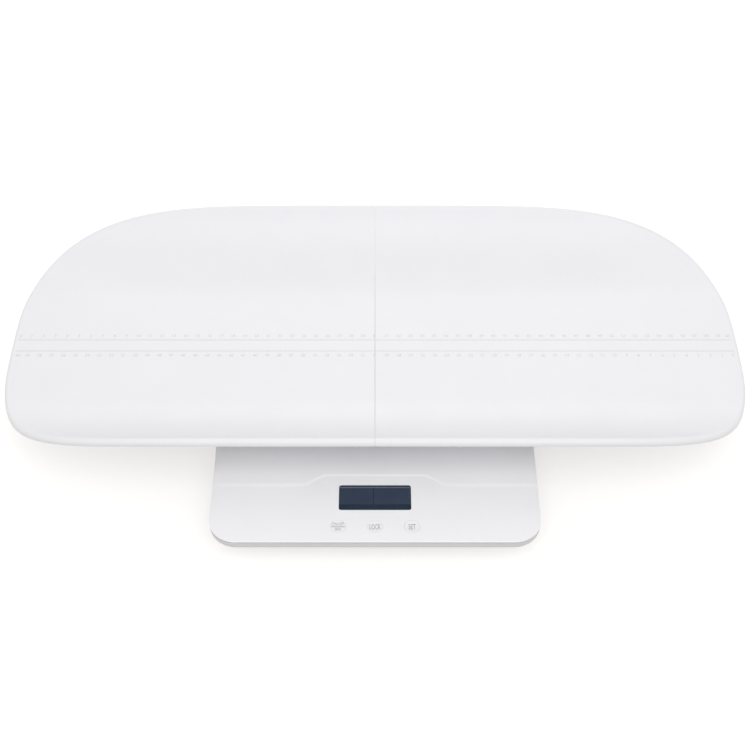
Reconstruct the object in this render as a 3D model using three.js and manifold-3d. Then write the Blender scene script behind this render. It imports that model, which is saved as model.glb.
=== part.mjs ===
// Digital baby weighing scale: a two-piece tray that stands on a low weighing base.
// Millimetres, +Z up, +X to the right, -Y towards the person who reads the display.
// The origin is on the floor, under the middle of the whole scale.

import * as THREE from "three";
import { mergeVertices } from "three/addons/utils/BufferGeometryUtils.js";
import Module from "manifold-3d";

const wasm = await Module();
wasm.setup();

// Clearances and overlaps that all pieces share
const seat_gap = 0.3; // between two faces that rest on each other
const slide_gap = 0.3; // around a piece that travels in a hole
const overrun = 1; // how far a cut runs past the face that it opens
const sunk = 1; // how far a boss or rib is sunk in the wall that carries it

// How finely round shapes are divided
const facet_length = 1.8; // on a round piece, between the least and the most facets
const least_facets = 12;
const most_facets = 20;
const corner_steps = 6;
const turn_steps = 3;
const outline_steps = 52;
const lip_steps = 4;

// Tray, measured over its rolled lip
const tray_length = 610;
const tray_width = 277;
const tray_wall = 2.5;
const tray_flat = 120; // width of the flat strip along the middle of the trough
const trough_radius = 91.5; // of the rounded flanks beside the flat strip
const end_power = 5.2; // how square the outline is towards its ends
const side_power = 3.3; // how square the outline is towards its long sides
const lip_radius = 3.2;
const lip_drop = 1.4; // upright edge under the rolled lip
const tray_clearance = 17.5; // air between the platform and the underside of the tray

// Legs and ribs under each tray half
const leg_x = 85; // from the seam
const leg_y = 46; // from the ruler's middle line
const leg_radius = 12;
const leg_bore = 9.8; // radius of the hollow in a leg
const spigot_radius = 6;
const spigot_length = 6;
const rib_wall = 2;
const rib_depth = 11; // at the leg
const rib_tip_depth = 3; // at the outer end of a rib
const rib_reach = 262; // from the seam to the outer end of a rib
const rib_start = 24; // from the seam to the inner end of a rib

// Hooks of the left half in the sockets of the right half
const hook_y = 22;
const hook_width = 10;
const hook_root = 16; // how far a hook reaches back under its own half
const hook_post = 8; // length of the block that carries the hook
const hook_tip_x = 11; // from the seam to the upturned tip
const hook_tip = 4; // length of the tip
const hook_bar = 3.5; // height of the bar
const hook_drop = 4.5; // from the underside of the tray to the bar
const socket_wall = 2.2;

// Weighing base
const base_width = 256;
const base_depth = 300;
const base_corner = 21;
const base_reach = 188.7; // from the ruler's middle line to the front of the base
const console_height = 31.5; // top of the display strip above the floor
const platform_step = 0.5; // how far the platform stands above the display strip
const cover_wall = 2.4;
const cover_edge = 2; // rounding of the cover's top edge
const step_side = 55; // from the front of the base to the step, at the sides
const step_middle = 65.1; // from the front of the base to the step, in the middle
const step_foot_half = 58; // half width of the step's bulge at the side level
const step_head_half = 38; // half width of the step's bulge at the middle level
const locating_rib = 2; // height of the rib that centres the cover in the lower shell
const locating_wall = 1.6;

// Lower shell of the base
const bottom_height = 8; // underside of the base above the floor
const shell_wall = 2.4;
const shell_inset = 0.3; // how far the shell stands inside the edge of the cover
const shell_band = 1.6; // upright band below the parting line
const shell_turn = 3.5; // radius from the upright band to the slope
const shell_slope = THREE.MathUtils.degToRad(50); // of the lower flank, from upright
const shell_corner_share = 0.25; // how much of an inset comes off the corner radius

// Ribs under the platform
const stiffener_depth = 4.2;
const stiffener_wall = 1.8;
const stiffener_spacing = 64;
const stiffener_margin = 14; // from the ribs to the edge of the platform

// Display
const window_width = 56.5;
const window_depth = 24.7;
const window_corner = 2;
const window_centre = 43; // from the front of the base
const window_thickness = 1;
const window_sunk = 0.1; // below the display strip
const window_ledge = 2.1; // width of the ledge that carries the window
const panel_side_gap = 1.15; // from the sides of the opening under the window
const panel_end_gap = 0.75; // from its front and rear
const panel_thickness = 2.8;
const backlight_thickness = 4;
const strip_depth = 2.6;
const strip_gap = 1.4; // between the connector strip and the backlight
const strip_end_gap = 1; // the connector strip is shorter than the panel by this at each end

// Keys and their switches
const key_spacing = 28.5;
const key_centre = 14.7; // from the front of the base
const key_radius = 6.1;
const key_sunk = 0.1; // below the display strip
const key_dish = 0.8; // depth of the finger dish
const key_dish_rim = 0.7; // width of the flat rim round the dish
const key_flange = 1.4; // how far the flange reaches past the key
const key_flange_height = 1.2;
const key_stem_radius = 2.2;
const key_travel = 0.5;
const switch_size = 6;
const switch_height = 3.4;
const plunger_radius = 1.7;
const plunger_seat = 2; // depth of the plunger's bore in the switch
const plunger_proud = 1.6; // how far the plunger stands out of the switch

// Circuit board
const board_side = 17.5; // from the middle of the outer keys to the sides of the board
const board_depth = 52;
const board_thickness = 1.6;
const board_front = 11; // from the front of the base
const board_drop = 7.1; // from the underside of the cover to the top of the board
const chip_size = 10;
const chip_height = 1.6;
const chip_setback = 12; // of the chip's middle in front of the board's rear edge
const board_screw_margin = 5; // from the edges of the board
const board_screw_radius = 1.1;
const board_screw_grip = 4; // length of thread in the post
const board_screw_head_radius = 2.2;
const board_screw_head_height = 1.6;
const board_post_radius = 3;

// Case screws
const case_screw_radius = 1.5;
const case_screw_head_radius = 3;
const case_screw_head_height = 2;
const case_screw_grip = 8; // length of thread in the post
const case_boss_radius = 4.6;
const case_boss_height = 10; // above the underside of the base
const case_seat_depth = 4; // from the underside of the base to the screw's seat
const case_post_radius = 4;
const case_screw_gap = 0.9; // from a boss to the load cell holder beside it
const case_middle_inset = 33; // from the sides of the base
const case_middle_ahead = 65.3; // in front of the rear feet
const case_rear_inset = 32; // from the rear feet towards the middle

// Feet and load cells
const foot_radius = 17.5;
const foot_rim = 1.2; // bottom of the foot's rim above the floor
const foot_rim_wall = 2.2;
const foot_travel = 0.5;
const foot_stem_radius = 8;
const foot_head_radius = 9.6;
const foot_head_height = 1.4;
const foot_edge = 1.5; // bevel of the foot's upper edge
const pad_thickness = 2.5;
const cell_size = 34;
const cell_thickness = 1.5;
const cell_tongue_half = 6;
const cell_slot = 3; // width of the slot round the tongue
const cell_slot_half = 11; // half length of the slotted part
const holder_wall = 4;
const holder_corner_drop = 13; // how much tighter its corners are than the base's
const holder_ledge_height = 3.8;
const holder_height = 6.8;
const holder_well_radius = 12;
const holder_margin = 2.9; // from a holder to the foot of the shell's slope

// Batteries and their door
const battery_radius = 5.25;
const battery_length = 44.5;
const battery_nub_radius = 1.9;
const battery_nub = 1;
const battery_gap = 0.6; // from cell to cell
const battery_count = 3;
const battery_side_gap = 0.5; // from the cells to the walls and the roof of their bay
const contact_thickness = 0.5;
const contact_height = 8;
const contact_spring_length = 4.1;
const contact_spring_root = 3.2;
const contact_spring_tip = 1.8;
const bay_wall = 1.6;
const bay_rear = 28; // from the rear of the base to the inside of the bay
const bay_wire_slot = 3.6;
const door_side = 1.6; // how far the door reaches past the sides of the bay
const door_thickness = 2.6;
const door_tongue = 2; // how far the door's side tongues reach out
const door_tongue_height = 1.2;
const door_lap = 4; // how far the door reaches past the front of the bay
const rail_width = 5;
const rail_height = 4.4; // above the underside of the base

// Leads
const lead_radius = 1.1;
const lead_sides = 6;
const lead_lift = 2.2; // of a lead's middle above the lower shell's inner floor
const lead_step = 6.6; // length of one facet of a lead
const lead_rise = 4; // upright end of a lead below the board

// Heights worked out from the sizes above
const platform_height = console_height + platform_step;
const cover_underside = console_height - cover_wall;
const shell_top = cover_underside - seat_gap;
const shell_floor = bottom_height + shell_wall;
const tray_underside = platform_height + tray_clearance;
const tray_floor = tray_underside + tray_wall;
const board_top = cover_underside - board_drop;
const board_bottom = board_top - board_thickness;
const cell_bottom = shell_floor + seat_gap + holder_ledge_height + seat_gap;
const cell_top = cell_bottom + cell_thickness;

// Places worked out from the sizes above
const panel_width = window_width - 2 * (window_ledge + panel_side_gap);
const panel_depth = window_depth - 2 * (window_ledge + panel_end_gap);
const backlight_depth = panel_depth - strip_depth - strip_gap;
const board_width = 2 * (key_spacing + board_side);
const base_front = -(base_reach + tray_width / 2) / 2;
const tray_y = base_front + base_reach;
const base_y = base_front + base_depth / 2;
const base_rear = base_front + base_depth;
const window_y = base_front + window_centre;
const key_y = base_front + key_centre;
const board_y = base_front + board_front + board_depth / 2;
const holder_half = cell_size / 2 + holder_wall;
const holder_corner = base_corner - holder_corner_drop;
const foot_inset = shellLevels(shell_wall)[0].inset + holder_margin + holder_half;
const foot_x = base_width / 2 - foot_inset;
const foot_front_y = base_front + foot_inset;
const foot_rear_y = base_rear - foot_inset;
const case_foot_gap = holder_half + case_screw_gap + case_boss_radius;
const battery_pitch = 2 * battery_radius + battery_gap;
const bay_half_depth = (battery_pitch * (battery_count - 1)) / 2 + battery_radius + battery_side_gap;
const bay_y = base_rear - bay_rear - bay_half_depth;
const contact_x = (battery_length + contact_spring_length) / 2 + seat_gap;
const bay_half_width = contact_x + contact_thickness + seat_gap;
const door_half = bay_half_width + door_side;
const door_slot_top = bottom_height + door_thickness + seat_gap;
const battery_z = door_slot_top + seat_gap + battery_radius;
const bay_roof = battery_z + battery_radius + battery_side_gap;

// Finishes
const finish = {
  tray: { color: 0xeef0f3, roughness: 0.38, metalness: 0 },
  case: { color: 0xe9ebee, roughness: 0.42, metalness: 0 },
  lens: { color: 0x27323f, roughness: 0.08, metalness: 0 },
  panel: { color: 0x34414f, roughness: 0.2, metalness: 0 },
  diffuser: { color: 0xe8ecf2, roughness: 0.5, metalness: 0 },
  elastomer: { color: 0xd98aa0, roughness: 0.8, metalness: 0 },
  board: { color: 0x1f6b3f, roughness: 0.5, metalness: 0 },
  chip: { color: 0x17181a, roughness: 0.5, metalness: 0 },
  key: { color: 0xeceef1, roughness: 0.4, metalness: 0 },
  switch: { color: 0x2a2b2d, roughness: 0.5, metalness: 0.1 },
  steel: { color: 0xb9bcc0, roughness: 0.35, metalness: 1 },
  holder: { color: 0xd9dbde, roughness: 0.5, metalness: 0 },
  rubber: { color: 0x3b3d40, roughness: 0.9, metalness: 0 },
  battery: { color: 0x2f6f57, roughness: 0.35, metalness: 0.2 },
  lead_red: { color: 0xb52a2a, roughness: 0.5, metalness: 0 },
  lead_black: { color: 0x1b1b1d, roughness: 0.5, metalness: 0 },
  lead_white: { color: 0xe3e3e3, roughness: 0.5, metalness: 0 },
};

// Solids from meshes and back

// A closed mesh as a solid that can be joined and cut.
function solid(geometry) {
  const bare = geometry.clone();
  bare.deleteAttribute("normal");
  bare.deleteAttribute("uv");
  const merged = mergeVertices(bare, 1e-4);
  return new wasm.Manifold(
    new wasm.Mesh({
      numProp: 3,
      vertProperties: merged.attributes.position.array,
      triVerts: new Uint32Array(merged.index.array),
    }),
  );
}

// A joined or cut solid as a mesh.
function geometryOf(body) {
  const mesh = body.getMesh();
  const places = [];
  for (let i = 0; i < mesh.numVert; i++) {
    const at = i * mesh.numProp;
    places.push(mesh.vertProperties[at], mesh.vertProperties[at + 1], mesh.vertProperties[at + 2]);
  }
  return indexed(places, Array.from(mesh.triVerts));
}

function indexed(places, faces) {
  const geometry = new THREE.BufferGeometry();
  geometry.setAttribute("position", new THREE.Float32BufferAttribute(places, 3));
  geometry.setIndex(faces);
  return geometry;
}

function joined(first, ...others) {
  return others.reduce((whole, other) => whole.add(other), first);
}

function cut(first, ...others) {
  return others.reduce((whole, other) => whole.subtract(other), first);
}

// A block between two corners.
function block(low, high) {
  const box = new THREE.BoxGeometry(high[0] - low[0], high[1] - low[1], high[2] - low[2]);
  box.translate((low[0] + high[0]) / 2, (low[1] + high[1]) / 2, (low[2] + high[2]) / 2);
  return solid(box);
}

// How many facets a round piece has: a multiple of four.
function facets(radius) {
  const wanted = Math.ceil((Math.PI * radius) / 2 / facet_length) * 4;
  return Math.min(Math.max(wanted, least_facets), most_facets);
}

// An upright round rod.
function rod(x, y, low, high, radius, tip_radius = radius) {
  const geometry = new THREE.CylinderGeometry(tip_radius, radius, high - low, facets(radius));
  geometry.rotateX(Math.PI / 2);
  geometry.translate(x, y, (low + high) / 2);
  return solid(geometry);
}

// A turned piece on an upright axis; its outline starts and ends on the axis.
function turned(outline, x = 0, y = 0) {
  const points = outline.map(([radius, z]) => new THREE.Vector2(radius, z));
  const widest = Math.max(...outline.map(([radius]) => radius));
  const geometry = new THREE.LatheGeometry(points, facets(widest));
  geometry.rotateX(Math.PI / 2);
  geometry.translate(x, y, 0);
  return solid(geometry);
}

// A flat outline, pushed up from one height to another.
function prism(outline, low, high, holes = []) {
  const shape = new THREE.Shape(outline.map(([x, y]) => new THREE.Vector2(x, y)));
  for (const hole of holes) {
    shape.holes.push(new THREE.Path(hole.map(([x, y]) => new THREE.Vector2(x, y))));
  }
  const geometry = new THREE.ExtrudeGeometry(shape, { depth: high - low, bevelEnabled: false });
  geometry.translate(0, 0, low);
  return solid(geometry);
}

// Points round a rectangle with round corners.
function roundedOutline(half_x, half_y, radius) {
  const points = [];
  for (let corner = 0; corner < 4; corner++) {
    const side_x = corner === 0 || corner === 3 ? 1 : -1;
    const side_y = corner < 2 ? 1 : -1;
    for (let step = 0; step <= corner_steps; step++) {
      const angle = ((corner + step / corner_steps) * Math.PI) / 2;
      points.push([
        side_x * (half_x - radius) + radius * Math.cos(angle),
        side_y * (half_y - radius) + radius * Math.sin(angle),
      ]);
    }
  }
  return points;
}

function slab(centre_y, half_x, half_y, radius, low, high) {
  const outline = roundedOutline(half_x, half_y, radius);
  return prism(
    outline.map(([x, y]) => [x, y + centre_y]),
    low,
    high,
  );
}

// A body with one outline at each level, all with as many points.
function lofted(levels) {
  const places = [];
  const faces = [];
  const count = levels[0].outline.length;
  for (const level of levels) {
    for (const [x, y] of level.outline) places.push(x, y, level.z);
  }
  for (let row = 0; row + 1 < levels.length; row++) {
    for (let i = 0; i < count; i++) {
      const next = (i + 1) % count;
      const [a, b] = [row * count + i, row * count + next];
      faces.push(a, b, b + count, a, b + count, a + count);
    }
  }
  const lid = THREE.ShapeUtils.triangulateShape(
    levels[0].outline.map(([x, y]) => new THREE.Vector2(x, y)),
    [],
  );
  const top = (levels.length - 1) * count;
  for (const [a, b, c] of lid) {
    faces.push(a, c, b);
    faces.push(top + a, top + b, top + c);
  }
  return solid(indexed(places, faces));
}

// A node of the scale.
function piece(name, body, look) {
  const geometry = geometryOf(body).toNonIndexed();
  geometry.computeVertexNormals();
  const mesh = new THREE.Mesh(geometry, new THREE.MeshStandardMaterial(look));
  mesh.name = name;
  return mesh;
}

// Tray

const seam_half = seat_gap / 2;
const flat_half = tray_flat / 2;
const inner_half_length = tray_length / 2 - lip_radius;
const inner_half_width =
  (tray_width / 2 - lip_radius + (lip_radius * flat_half) / trough_radius) / (1 + lip_radius / trough_radius);

// Slope of the trough at a distance from its middle line.
function flankAngle(y) {
  const past = Math.max(Math.abs(y) - flat_half, 0);
  return Math.asin(Math.min(past / trough_radius, 1));
}

function flankHeight(y) {
  return tray_floor + trough_radius * (1 - Math.cos(flankAngle(y)));
}

// A point of the tray's inner rim, the way out from it, and the climb of the floor that way.
function rimPoint(turn) {
  const along = Math.abs(Math.cos(turn)) ** (2 / end_power);
  const across = Math.abs(Math.sin(turn)) ** (2 / side_power);
  const side = Math.sign(turn);
  const out = new THREE.Vector2(
    (end_power / inner_half_length) * along ** (end_power - 1),
    (side * (side_power / inner_half_width)) * across ** (side_power - 1),
  ).normalize();
  const y = side * inner_half_width * across;
  const climb = Math.atan(Math.tan(flankAngle(y)) * Math.abs(out.y));
  return { x: Math.max(inner_half_length * along, seam_half), y, z: flankHeight(y), out, climb };
}

// One row of the right half: in from the seam on top, round the lip, and back underneath.
function trayRow(turn) {
  const rim = rimPoint(turn);
  const slope = flankAngle(rim.y);
  const side = Math.sign(rim.y);
  const row = [[seam_half, rim.y, rim.z]];
  const axis_out = lip_radius * Math.sin(rim.climb);
  const axis_down = lip_radius * Math.cos(rim.climb);
  const place = (outward, up) => {
    row.push([
      Math.max(rim.x + rim.out.x * outward, seam_half),
      rim.y + rim.out.y * outward,
      rim.z + up,
    ]);
  };
  const roll = (radius, share) => {
    const angle = rim.climb - (rim.climb + Math.PI / 2) * share;
    place(axis_out - radius * Math.sin(angle), radius * Math.cos(angle) - axis_down);
  };
  for (let step = 0; step <= lip_steps; step++) roll(lip_radius, step / lip_steps);
  place(axis_out + lip_radius, -axis_down - lip_drop);
  place(axis_out + lip_radius - tray_wall, -axis_down - lip_drop);
  for (let step = lip_steps; step >= 0; step--) roll(lip_radius - tray_wall, step / lip_steps);
  row.push([
    seam_half,
    rim.y + side * tray_wall * Math.sin(slope),
    rim.z - tray_wall * Math.cos(slope),
  ]);
  return row;
}

// The right half's shell, closed at the seam.
function trayShell() {
  const rows = [];
  for (let step = 0; step <= outline_steps; step++) {
    rows.push(trayRow((step / outline_steps - 1 / 2) * Math.PI));
  }
  const places = rows.flat(2);
  const width = rows[0].length;
  const faces = [];
  for (let row = 0; row < outline_steps; row++) {
    for (let i = 0; i < width; i++) {
      const next = (i + 1) % width;
      const [a, b] = [row * width + i, row * width + next];
      faces.push(a, b, b + width, a, b + width, a + width);
    }
  }
  const end = outline_steps * width;
  const profile = (start) =>
    THREE.ShapeUtils.triangulateShape(
      rows[start].slice(1, width - 1).map(([, y, z]) => new THREE.Vector2(y, z)),
      [],
    );
  for (const [a, b, c] of profile(0)) faces.push(a + 1, c + 1, b + 1);
  for (const [a, b, c] of profile(outline_steps)) faces.push(end + a + 1, end + c + 1, end + b + 1);
  return solid(cleaned(indexed(places, faces)));
}

// The same mesh without faces that have shrunk to a line.
function cleaned(geometry) {
  const merged = mergeVertices(geometry, 1e-4);
  const faces = [];
  for (let i = 0; i < merged.index.count; i += 3) {
    const [a, b, c] = [merged.index.getX(i), merged.index.getX(i + 1), merged.index.getX(i + 2)];
    if (a !== b && b !== c && c !== a) faces.push(a, b, c);
  }
  merged.setIndex(faces);
  return merged;
}

// The hollow of a leg, open downwards.
function legBore(side) {
  return rod(leg_x, side * leg_y, platform_height - overrun, tray_underside, leg_bore);
}

// A round leg, and the spigot inside it that locates it in the platform.
function trayLeg(side) {
  const foot = platform_height + seat_gap;
  const y = side * leg_y;
  const high = tray_underside + sunk;
  return joined(
    cut(rod(leg_x, y, foot, high, leg_radius), legBore(side)),
    rod(leg_x, y, foot - spigot_length, high, spigot_radius),
  );
}

// A rib along one half, deep at the leg and shallow at its outer end.
function trayRib(side) {
  const outline = [
    [rib_start, tray_underside - rib_depth],
    [leg_x + leg_radius, tray_underside - rib_depth],
    [rib_reach, tray_underside - rib_tip_depth],
    [rib_reach, tray_underside + sunk],
    [rib_start, tray_underside + sunk],
  ];
  const shape = new THREE.Shape(outline.map(([x, z]) => new THREE.Vector2(x, z)));
  const geometry = new THREE.ExtrudeGeometry(shape, { depth: rib_wall, bevelEnabled: false });
  geometry.rotateX(Math.PI / 2);
  geometry.translate(0, side * leg_y + rib_wall / 2, 0);
  return cut(solid(geometry), legBore(side));
}

function crossRib() {
  const reach = leg_y - leg_radius + sunk;
  return block(
    [leg_x - rib_wall / 2, -reach, tray_underside - rib_depth],
    [leg_x + rib_wall / 2, reach, tray_underside + sunk],
  );
}

function trayFrame() {
  const parts = [crossRib()];
  for (const side of [-1, 1]) parts.push(trayLeg(side), trayRib(side));
  return joined(trayShell(), ...parts);
}

// A hook of the left half: it reaches under the right half and turns up into its socket.
function hook(y) {
  const bar_top = tray_underside - hook_drop;
  const half = hook_width / 2;
  return joined(
    block([-hook_root, y - half, bar_top - hook_bar], [hook_tip_x + hook_tip, y + half, bar_top]),
    block([-hook_root, y - half, bar_top - sunk], [-hook_root + hook_post, y + half, tray_underside + sunk]),
    block(
      [hook_tip_x, y - half, bar_top - sunk],
      [hook_tip_x + hook_tip, y + half, tray_underside - seat_gap],
    ),
  );
}

// A socket of the right half, open downwards, round the tip of a hook.
function hookSocket(y) {
  const half = hook_width / 2 + slide_gap;
  const near = hook_tip_x - slide_gap;
  const far = hook_tip_x + hook_tip + slide_gap;
  const mouth = tray_underside - hook_drop + seat_gap;
  return cut(
    block(
      [near - socket_wall, y - half - socket_wall, mouth],
      [far + socket_wall, y + half + socket_wall, tray_underside + sunk],
    ),
    block([near, y - half, mouth - overrun], [far, y + half, tray_underside]),
  );
}

function mirrored(body) {
  const geometry = geometryOf(body);
  geometry.scale(-1, 1, 1);
  const faces = geometry.index.array;
  for (let i = 0; i < faces.length; i += 3) {
    [faces[i + 1], faces[i + 2]] = [faces[i + 2], faces[i + 1]];
  }
  return solid(geometry);
}

function tray() {
  const group = new THREE.Group();
  const half = trayFrame();
  const hooks = [-1, 1].map((side) => hook(side * hook_y));
  const sockets = [-1, 1].map((side) => hookSocket(side * hook_y));
  group.add(
    piece("tray_left", joined(mirrored(half), ...hooks), finish.tray),
    piece("tray_right", joined(half, ...sockets), finish.tray),
  );
  group.position.y = tray_y;
  return group;
}

// Base cover

function coverBody(height) {
  const levels = [{ z: cover_underside, inset: 0 }];
  for (let step = 0; step <= turn_steps; step++) {
    const angle = (step / turn_steps) * (Math.PI / 2);
    levels.push({
      z: height - cover_edge * (1 - Math.sin(angle)),
      inset: cover_edge * (1 - Math.cos(angle)),
    });
  }
  return lofted(
    levels.map(({ z, inset }) => ({
      z,
      outline: roundedOutline(base_width / 2 - inset, base_depth / 2 - inset, base_corner - inset).map(
        ([x, y]) => [x, y + base_y],
      ),
    })),
  );
}

// The part of the cover behind the step.
function platformRegion() {
  const side = base_width / 2 + overrun;
  const near = base_front + step_side;
  const far = base_front + step_middle;
  const outline = [
    [-side, base_rear + overrun],
    [-side, near],
    [-step_foot_half, near],
    [-step_head_half, far],
    [step_head_half, far],
    [step_foot_half, near],
    [side, near],
    [side, base_rear + overrun],
  ];
  return prism(outline, cover_underside - overrun, platform_height + overrun);
}

// The rib that centres the cover: it follows the inside of the lower shell.
function locatingRib() {
  const outer = shell_inset + shell_wall + slide_gap;
  const inner = outer + locating_wall;
  const low = cover_underside - locating_rib;
  const ring = (inset, from, to) => prism(shellOutline(inset), from, to);
  return cut(ring(outer, low, cover_underside + sunk), ring(inner, low - overrun, cover_underside));
}

// Ribs that stiffen the platform from below, laid out from its middle, clear of the battery bay.
function stiffeners() {
  const ribs = [];
  const bay = bayBlock(seat_gap);
  const low = cover_underside - stiffener_depth;
  const high = cover_underside + sunk;
  const half_x = base_width / 2 - stiffener_margin;
  const front = base_front + step_middle + stiffener_margin;
  const rear = base_rear - stiffener_margin;
  const middle = (front + rear) / 2;
  const half_wall = stiffener_wall / 2;
  for (let x = 0; x < half_x; x += stiffener_spacing) {
    for (const side of x ? [-1, 1] : [1]) {
      ribs.push(block([side * x - half_wall, front, low], [side * x + half_wall, rear, high]));
    }
  }
  for (let y = 0; y < (rear - front) / 2; y += stiffener_spacing) {
    for (const side of y ? [-1, 1] : [1]) {
      const at = middle + side * y;
      ribs.push(block([-half_x, at - half_wall, low], [half_x, at + half_wall, high]));
    }
  }
  return ribs.map((rib) => cut(rib, bay));
}

const socket_depth = spigot_length + seat_gap;

// Where the tray's legs stand on the platform.
function legPlaces() {
  const places = [];
  for (const side_x of [-1, 1]) {
    for (const side_y of [-1, 1]) places.push([side_x * leg_x, tray_y + side_y * leg_y]);
  }
  return places;
}

// Where the case screws go: behind the front feet, at the sides, and in front of the rear feet.
function casePlaces() {
  const places = [];
  for (const side of [-1, 1]) {
    places.push([side * foot_x, foot_front_y + case_foot_gap]);
    places.push([side * (base_width / 2 - case_middle_inset), foot_rear_y - case_middle_ahead]);
    places.push([side * (foot_x - case_rear_inset), foot_rear_y - case_foot_gap]);
  }
  return places;
}

function boardScrewPlaces() {
  const places = [];
  for (const side_x of [-1, 1]) {
    for (const side_y of [-1, 1]) {
      places.push([
        side_x * (board_width / 2 - board_screw_margin),
        board_y + side_y * (board_depth / 2 - board_screw_margin),
      ]);
    }
  }
  return places;
}

function keyPlaces() {
  return [-1, 0, 1].map((place) => place * key_spacing);
}

const case_post_foot = bottom_height + case_boss_height + seat_gap;
const case_screw_tip = bottom_height + case_boss_height + case_screw_grip;
const board_screw_tip = board_top + board_screw_grip;

function coverAdditions() {
  const high = cover_underside + sunk;
  const room = shellHollow(slide_gap, high);
  const added = [locatingRib(), ...stiffeners()];
  for (const [x, y] of legPlaces()) {
    const low = platform_height - socket_depth - cover_wall;
    added.push(rod(x, y, low, high, spigot_radius + slide_gap + cover_wall).intersect(room));
  }
  for (const [x, y] of casePlaces()) {
    added.push(rod(x, y, case_post_foot, high, case_post_radius).intersect(room));
  }
  for (const [x, y] of boardScrewPlaces()) {
    added.push(rod(x, y, board_top + seat_gap, high, board_post_radius));
  }
  return added;
}

function coverCuts() {
  const cuts = [];
  const above = platform_height + overrun;
  for (const [x, y] of legPlaces()) {
    cuts.push(rod(x, y, platform_height - socket_depth, above, spigot_radius + slide_gap));
  }
  for (const [x, y] of casePlaces()) {
    const bore = case_screw_radius + slide_gap;
    cuts.push(rod(x, y, case_post_foot - overrun, case_screw_tip + overrun, bore));
  }
  for (const [x, y] of boardScrewPlaces()) {
    const bore = board_screw_radius + slide_gap;
    cuts.push(rod(x, y, board_top - overrun, board_screw_tip + overrun, bore));
  }
  for (const x of keyPlaces()) {
    cuts.push(rod(x, key_y, cover_underside - overrun, above, key_radius + slide_gap));
  }
  return [...cuts, ...windowCuts()];
}

const window_bottom = console_height - window_sunk - window_thickness;

// The window's pocket and the smaller opening under it.
function windowCuts() {
  const half_x = window_width / 2;
  const half_y = window_depth / 2;
  const above = platform_height + overrun;
  return [
    slab(window_y, half_x, half_y, window_corner, window_bottom - seat_gap, above),
    slab(
      window_y,
      half_x - window_ledge,
      half_y - window_ledge,
      window_corner / 2,
      cover_underside - overrun,
      above,
    ),
  ];
}

function baseCover() {
  const plate = joined(coverBody(console_height), coverBody(platform_height).intersect(platformRegion()));
  return piece("base_top_cover", cut(joined(plate, ...coverAdditions()), ...coverCuts()), finish.case);
}

// Lower shell

// The shell's flank at a depth of wall inside it, from the bottom up.
function shellLevels(wall) {
  const turn_top = shell_top - shell_band;
  const radius = Math.max(shell_turn - wall, 0);
  const levels = [{ z: shell_top, inset: shell_inset + wall }];
  for (let step = 0; step <= turn_steps; step++) {
    const angle = (shell_slope * step) / turn_steps;
    levels.push({
      z: turn_top - radius * Math.sin(angle),
      inset: shell_inset + wall + radius * (1 - Math.cos(angle)),
    });
  }
  const last = levels.at(-1);
  const bottom = bottom_height + wall;
  levels.push({ z: bottom, inset: last.inset + (last.z - bottom) * Math.tan(shell_slope) });
  return levels.reverse();
}

function shellOutline(inset) {
  const corner = base_corner - inset * shell_corner_share;
  return roundedOutline(base_width / 2 - inset, base_depth / 2 - inset, corner).map(([x, y]) => [
    x,
    y + base_y,
  ]);
}

function shellBody(levels) {
  return lofted(levels.map(({ z, inset }) => ({ z, outline: shellOutline(inset) })));
}

// The room inside the shell, a gap away from its wall, up to a height.
function shellHollow(gap, top) {
  const levels = shellLevels(shell_wall + gap);
  levels.push({ z: top, inset: levels.at(-1).inset });
  return shellBody(levels);
}

function footPlaces() {
  return [
    ["front_left", -foot_x, foot_front_y],
    ["front_right", foot_x, foot_front_y],
    ["rear_left", -foot_x, foot_rear_y],
    ["rear_right", foot_x, foot_rear_y],
  ];
}

const door_front = bay_y - bay_half_depth - door_lap;
const rail_half = door_half + door_tongue + rail_width;

// The outside of the battery bay, and a gap round it.
function bayBlock(gap) {
  const half_x = bay_half_width + bay_wall + gap;
  const half_y = bay_half_depth + bay_wall + gap;
  return block([-half_x, bay_y - half_y, bottom_height], [half_x, bay_y + half_y, bay_roof + bay_wall + gap]);
}

// The battery bay's walls and roof, and the thick floor that holds the door's rails.
function bayBody() {
  return joined(
    bayBlock(0),
    block(
      [-rail_half, door_front - rail_width, bottom_height],
      [rail_half, base_rear, bottom_height + rail_height],
    ).intersect(shellBody(shellLevels(0))),
  );
}

function bayCuts() {
  const wire_low = battery_z;
  return [
    block(
      [-bay_half_width, bay_y - bay_half_depth, bottom_height - overrun],
      [bay_half_width, bay_y + bay_half_depth, bay_roof],
    ),
    block(
      [-door_half - slide_gap, door_front - seat_gap, bottom_height - overrun],
      [door_half + slide_gap, base_rear + overrun, door_slot_top],
    ),
    block(
      [
        -door_half - door_tongue - slide_gap,
        door_front - seat_gap,
        door_slot_top - door_tongue_height - seat_gap - slide_gap,
      ],
      [door_half + door_tongue + slide_gap, base_rear + overrun, door_slot_top],
    ),
    block(
      [-bay_half_width - bay_wall - overrun, bay_y - bay_wire_slot / 2, wire_low],
      [bay_half_width + bay_wall + overrun, bay_y + bay_wire_slot / 2, wire_low + bay_wire_slot],
    ),
  ];
}

function shellCuts() {
  const cuts = bayCuts();
  const seat = bottom_height + case_seat_depth;
  const below = bottom_height - overrun;
  for (const [x, y] of casePlaces()) {
    cuts.push(rod(x, y, below, seat, case_screw_head_radius + slide_gap));
    cuts.push(rod(x, y, below, shell_top, case_screw_radius + slide_gap));
  }
  for (const [, x, y] of footPlaces()) {
    cuts.push(rod(x, y, below, shell_floor + overrun, foot_stem_radius + slide_gap));
  }
  return cuts;
}

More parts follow.
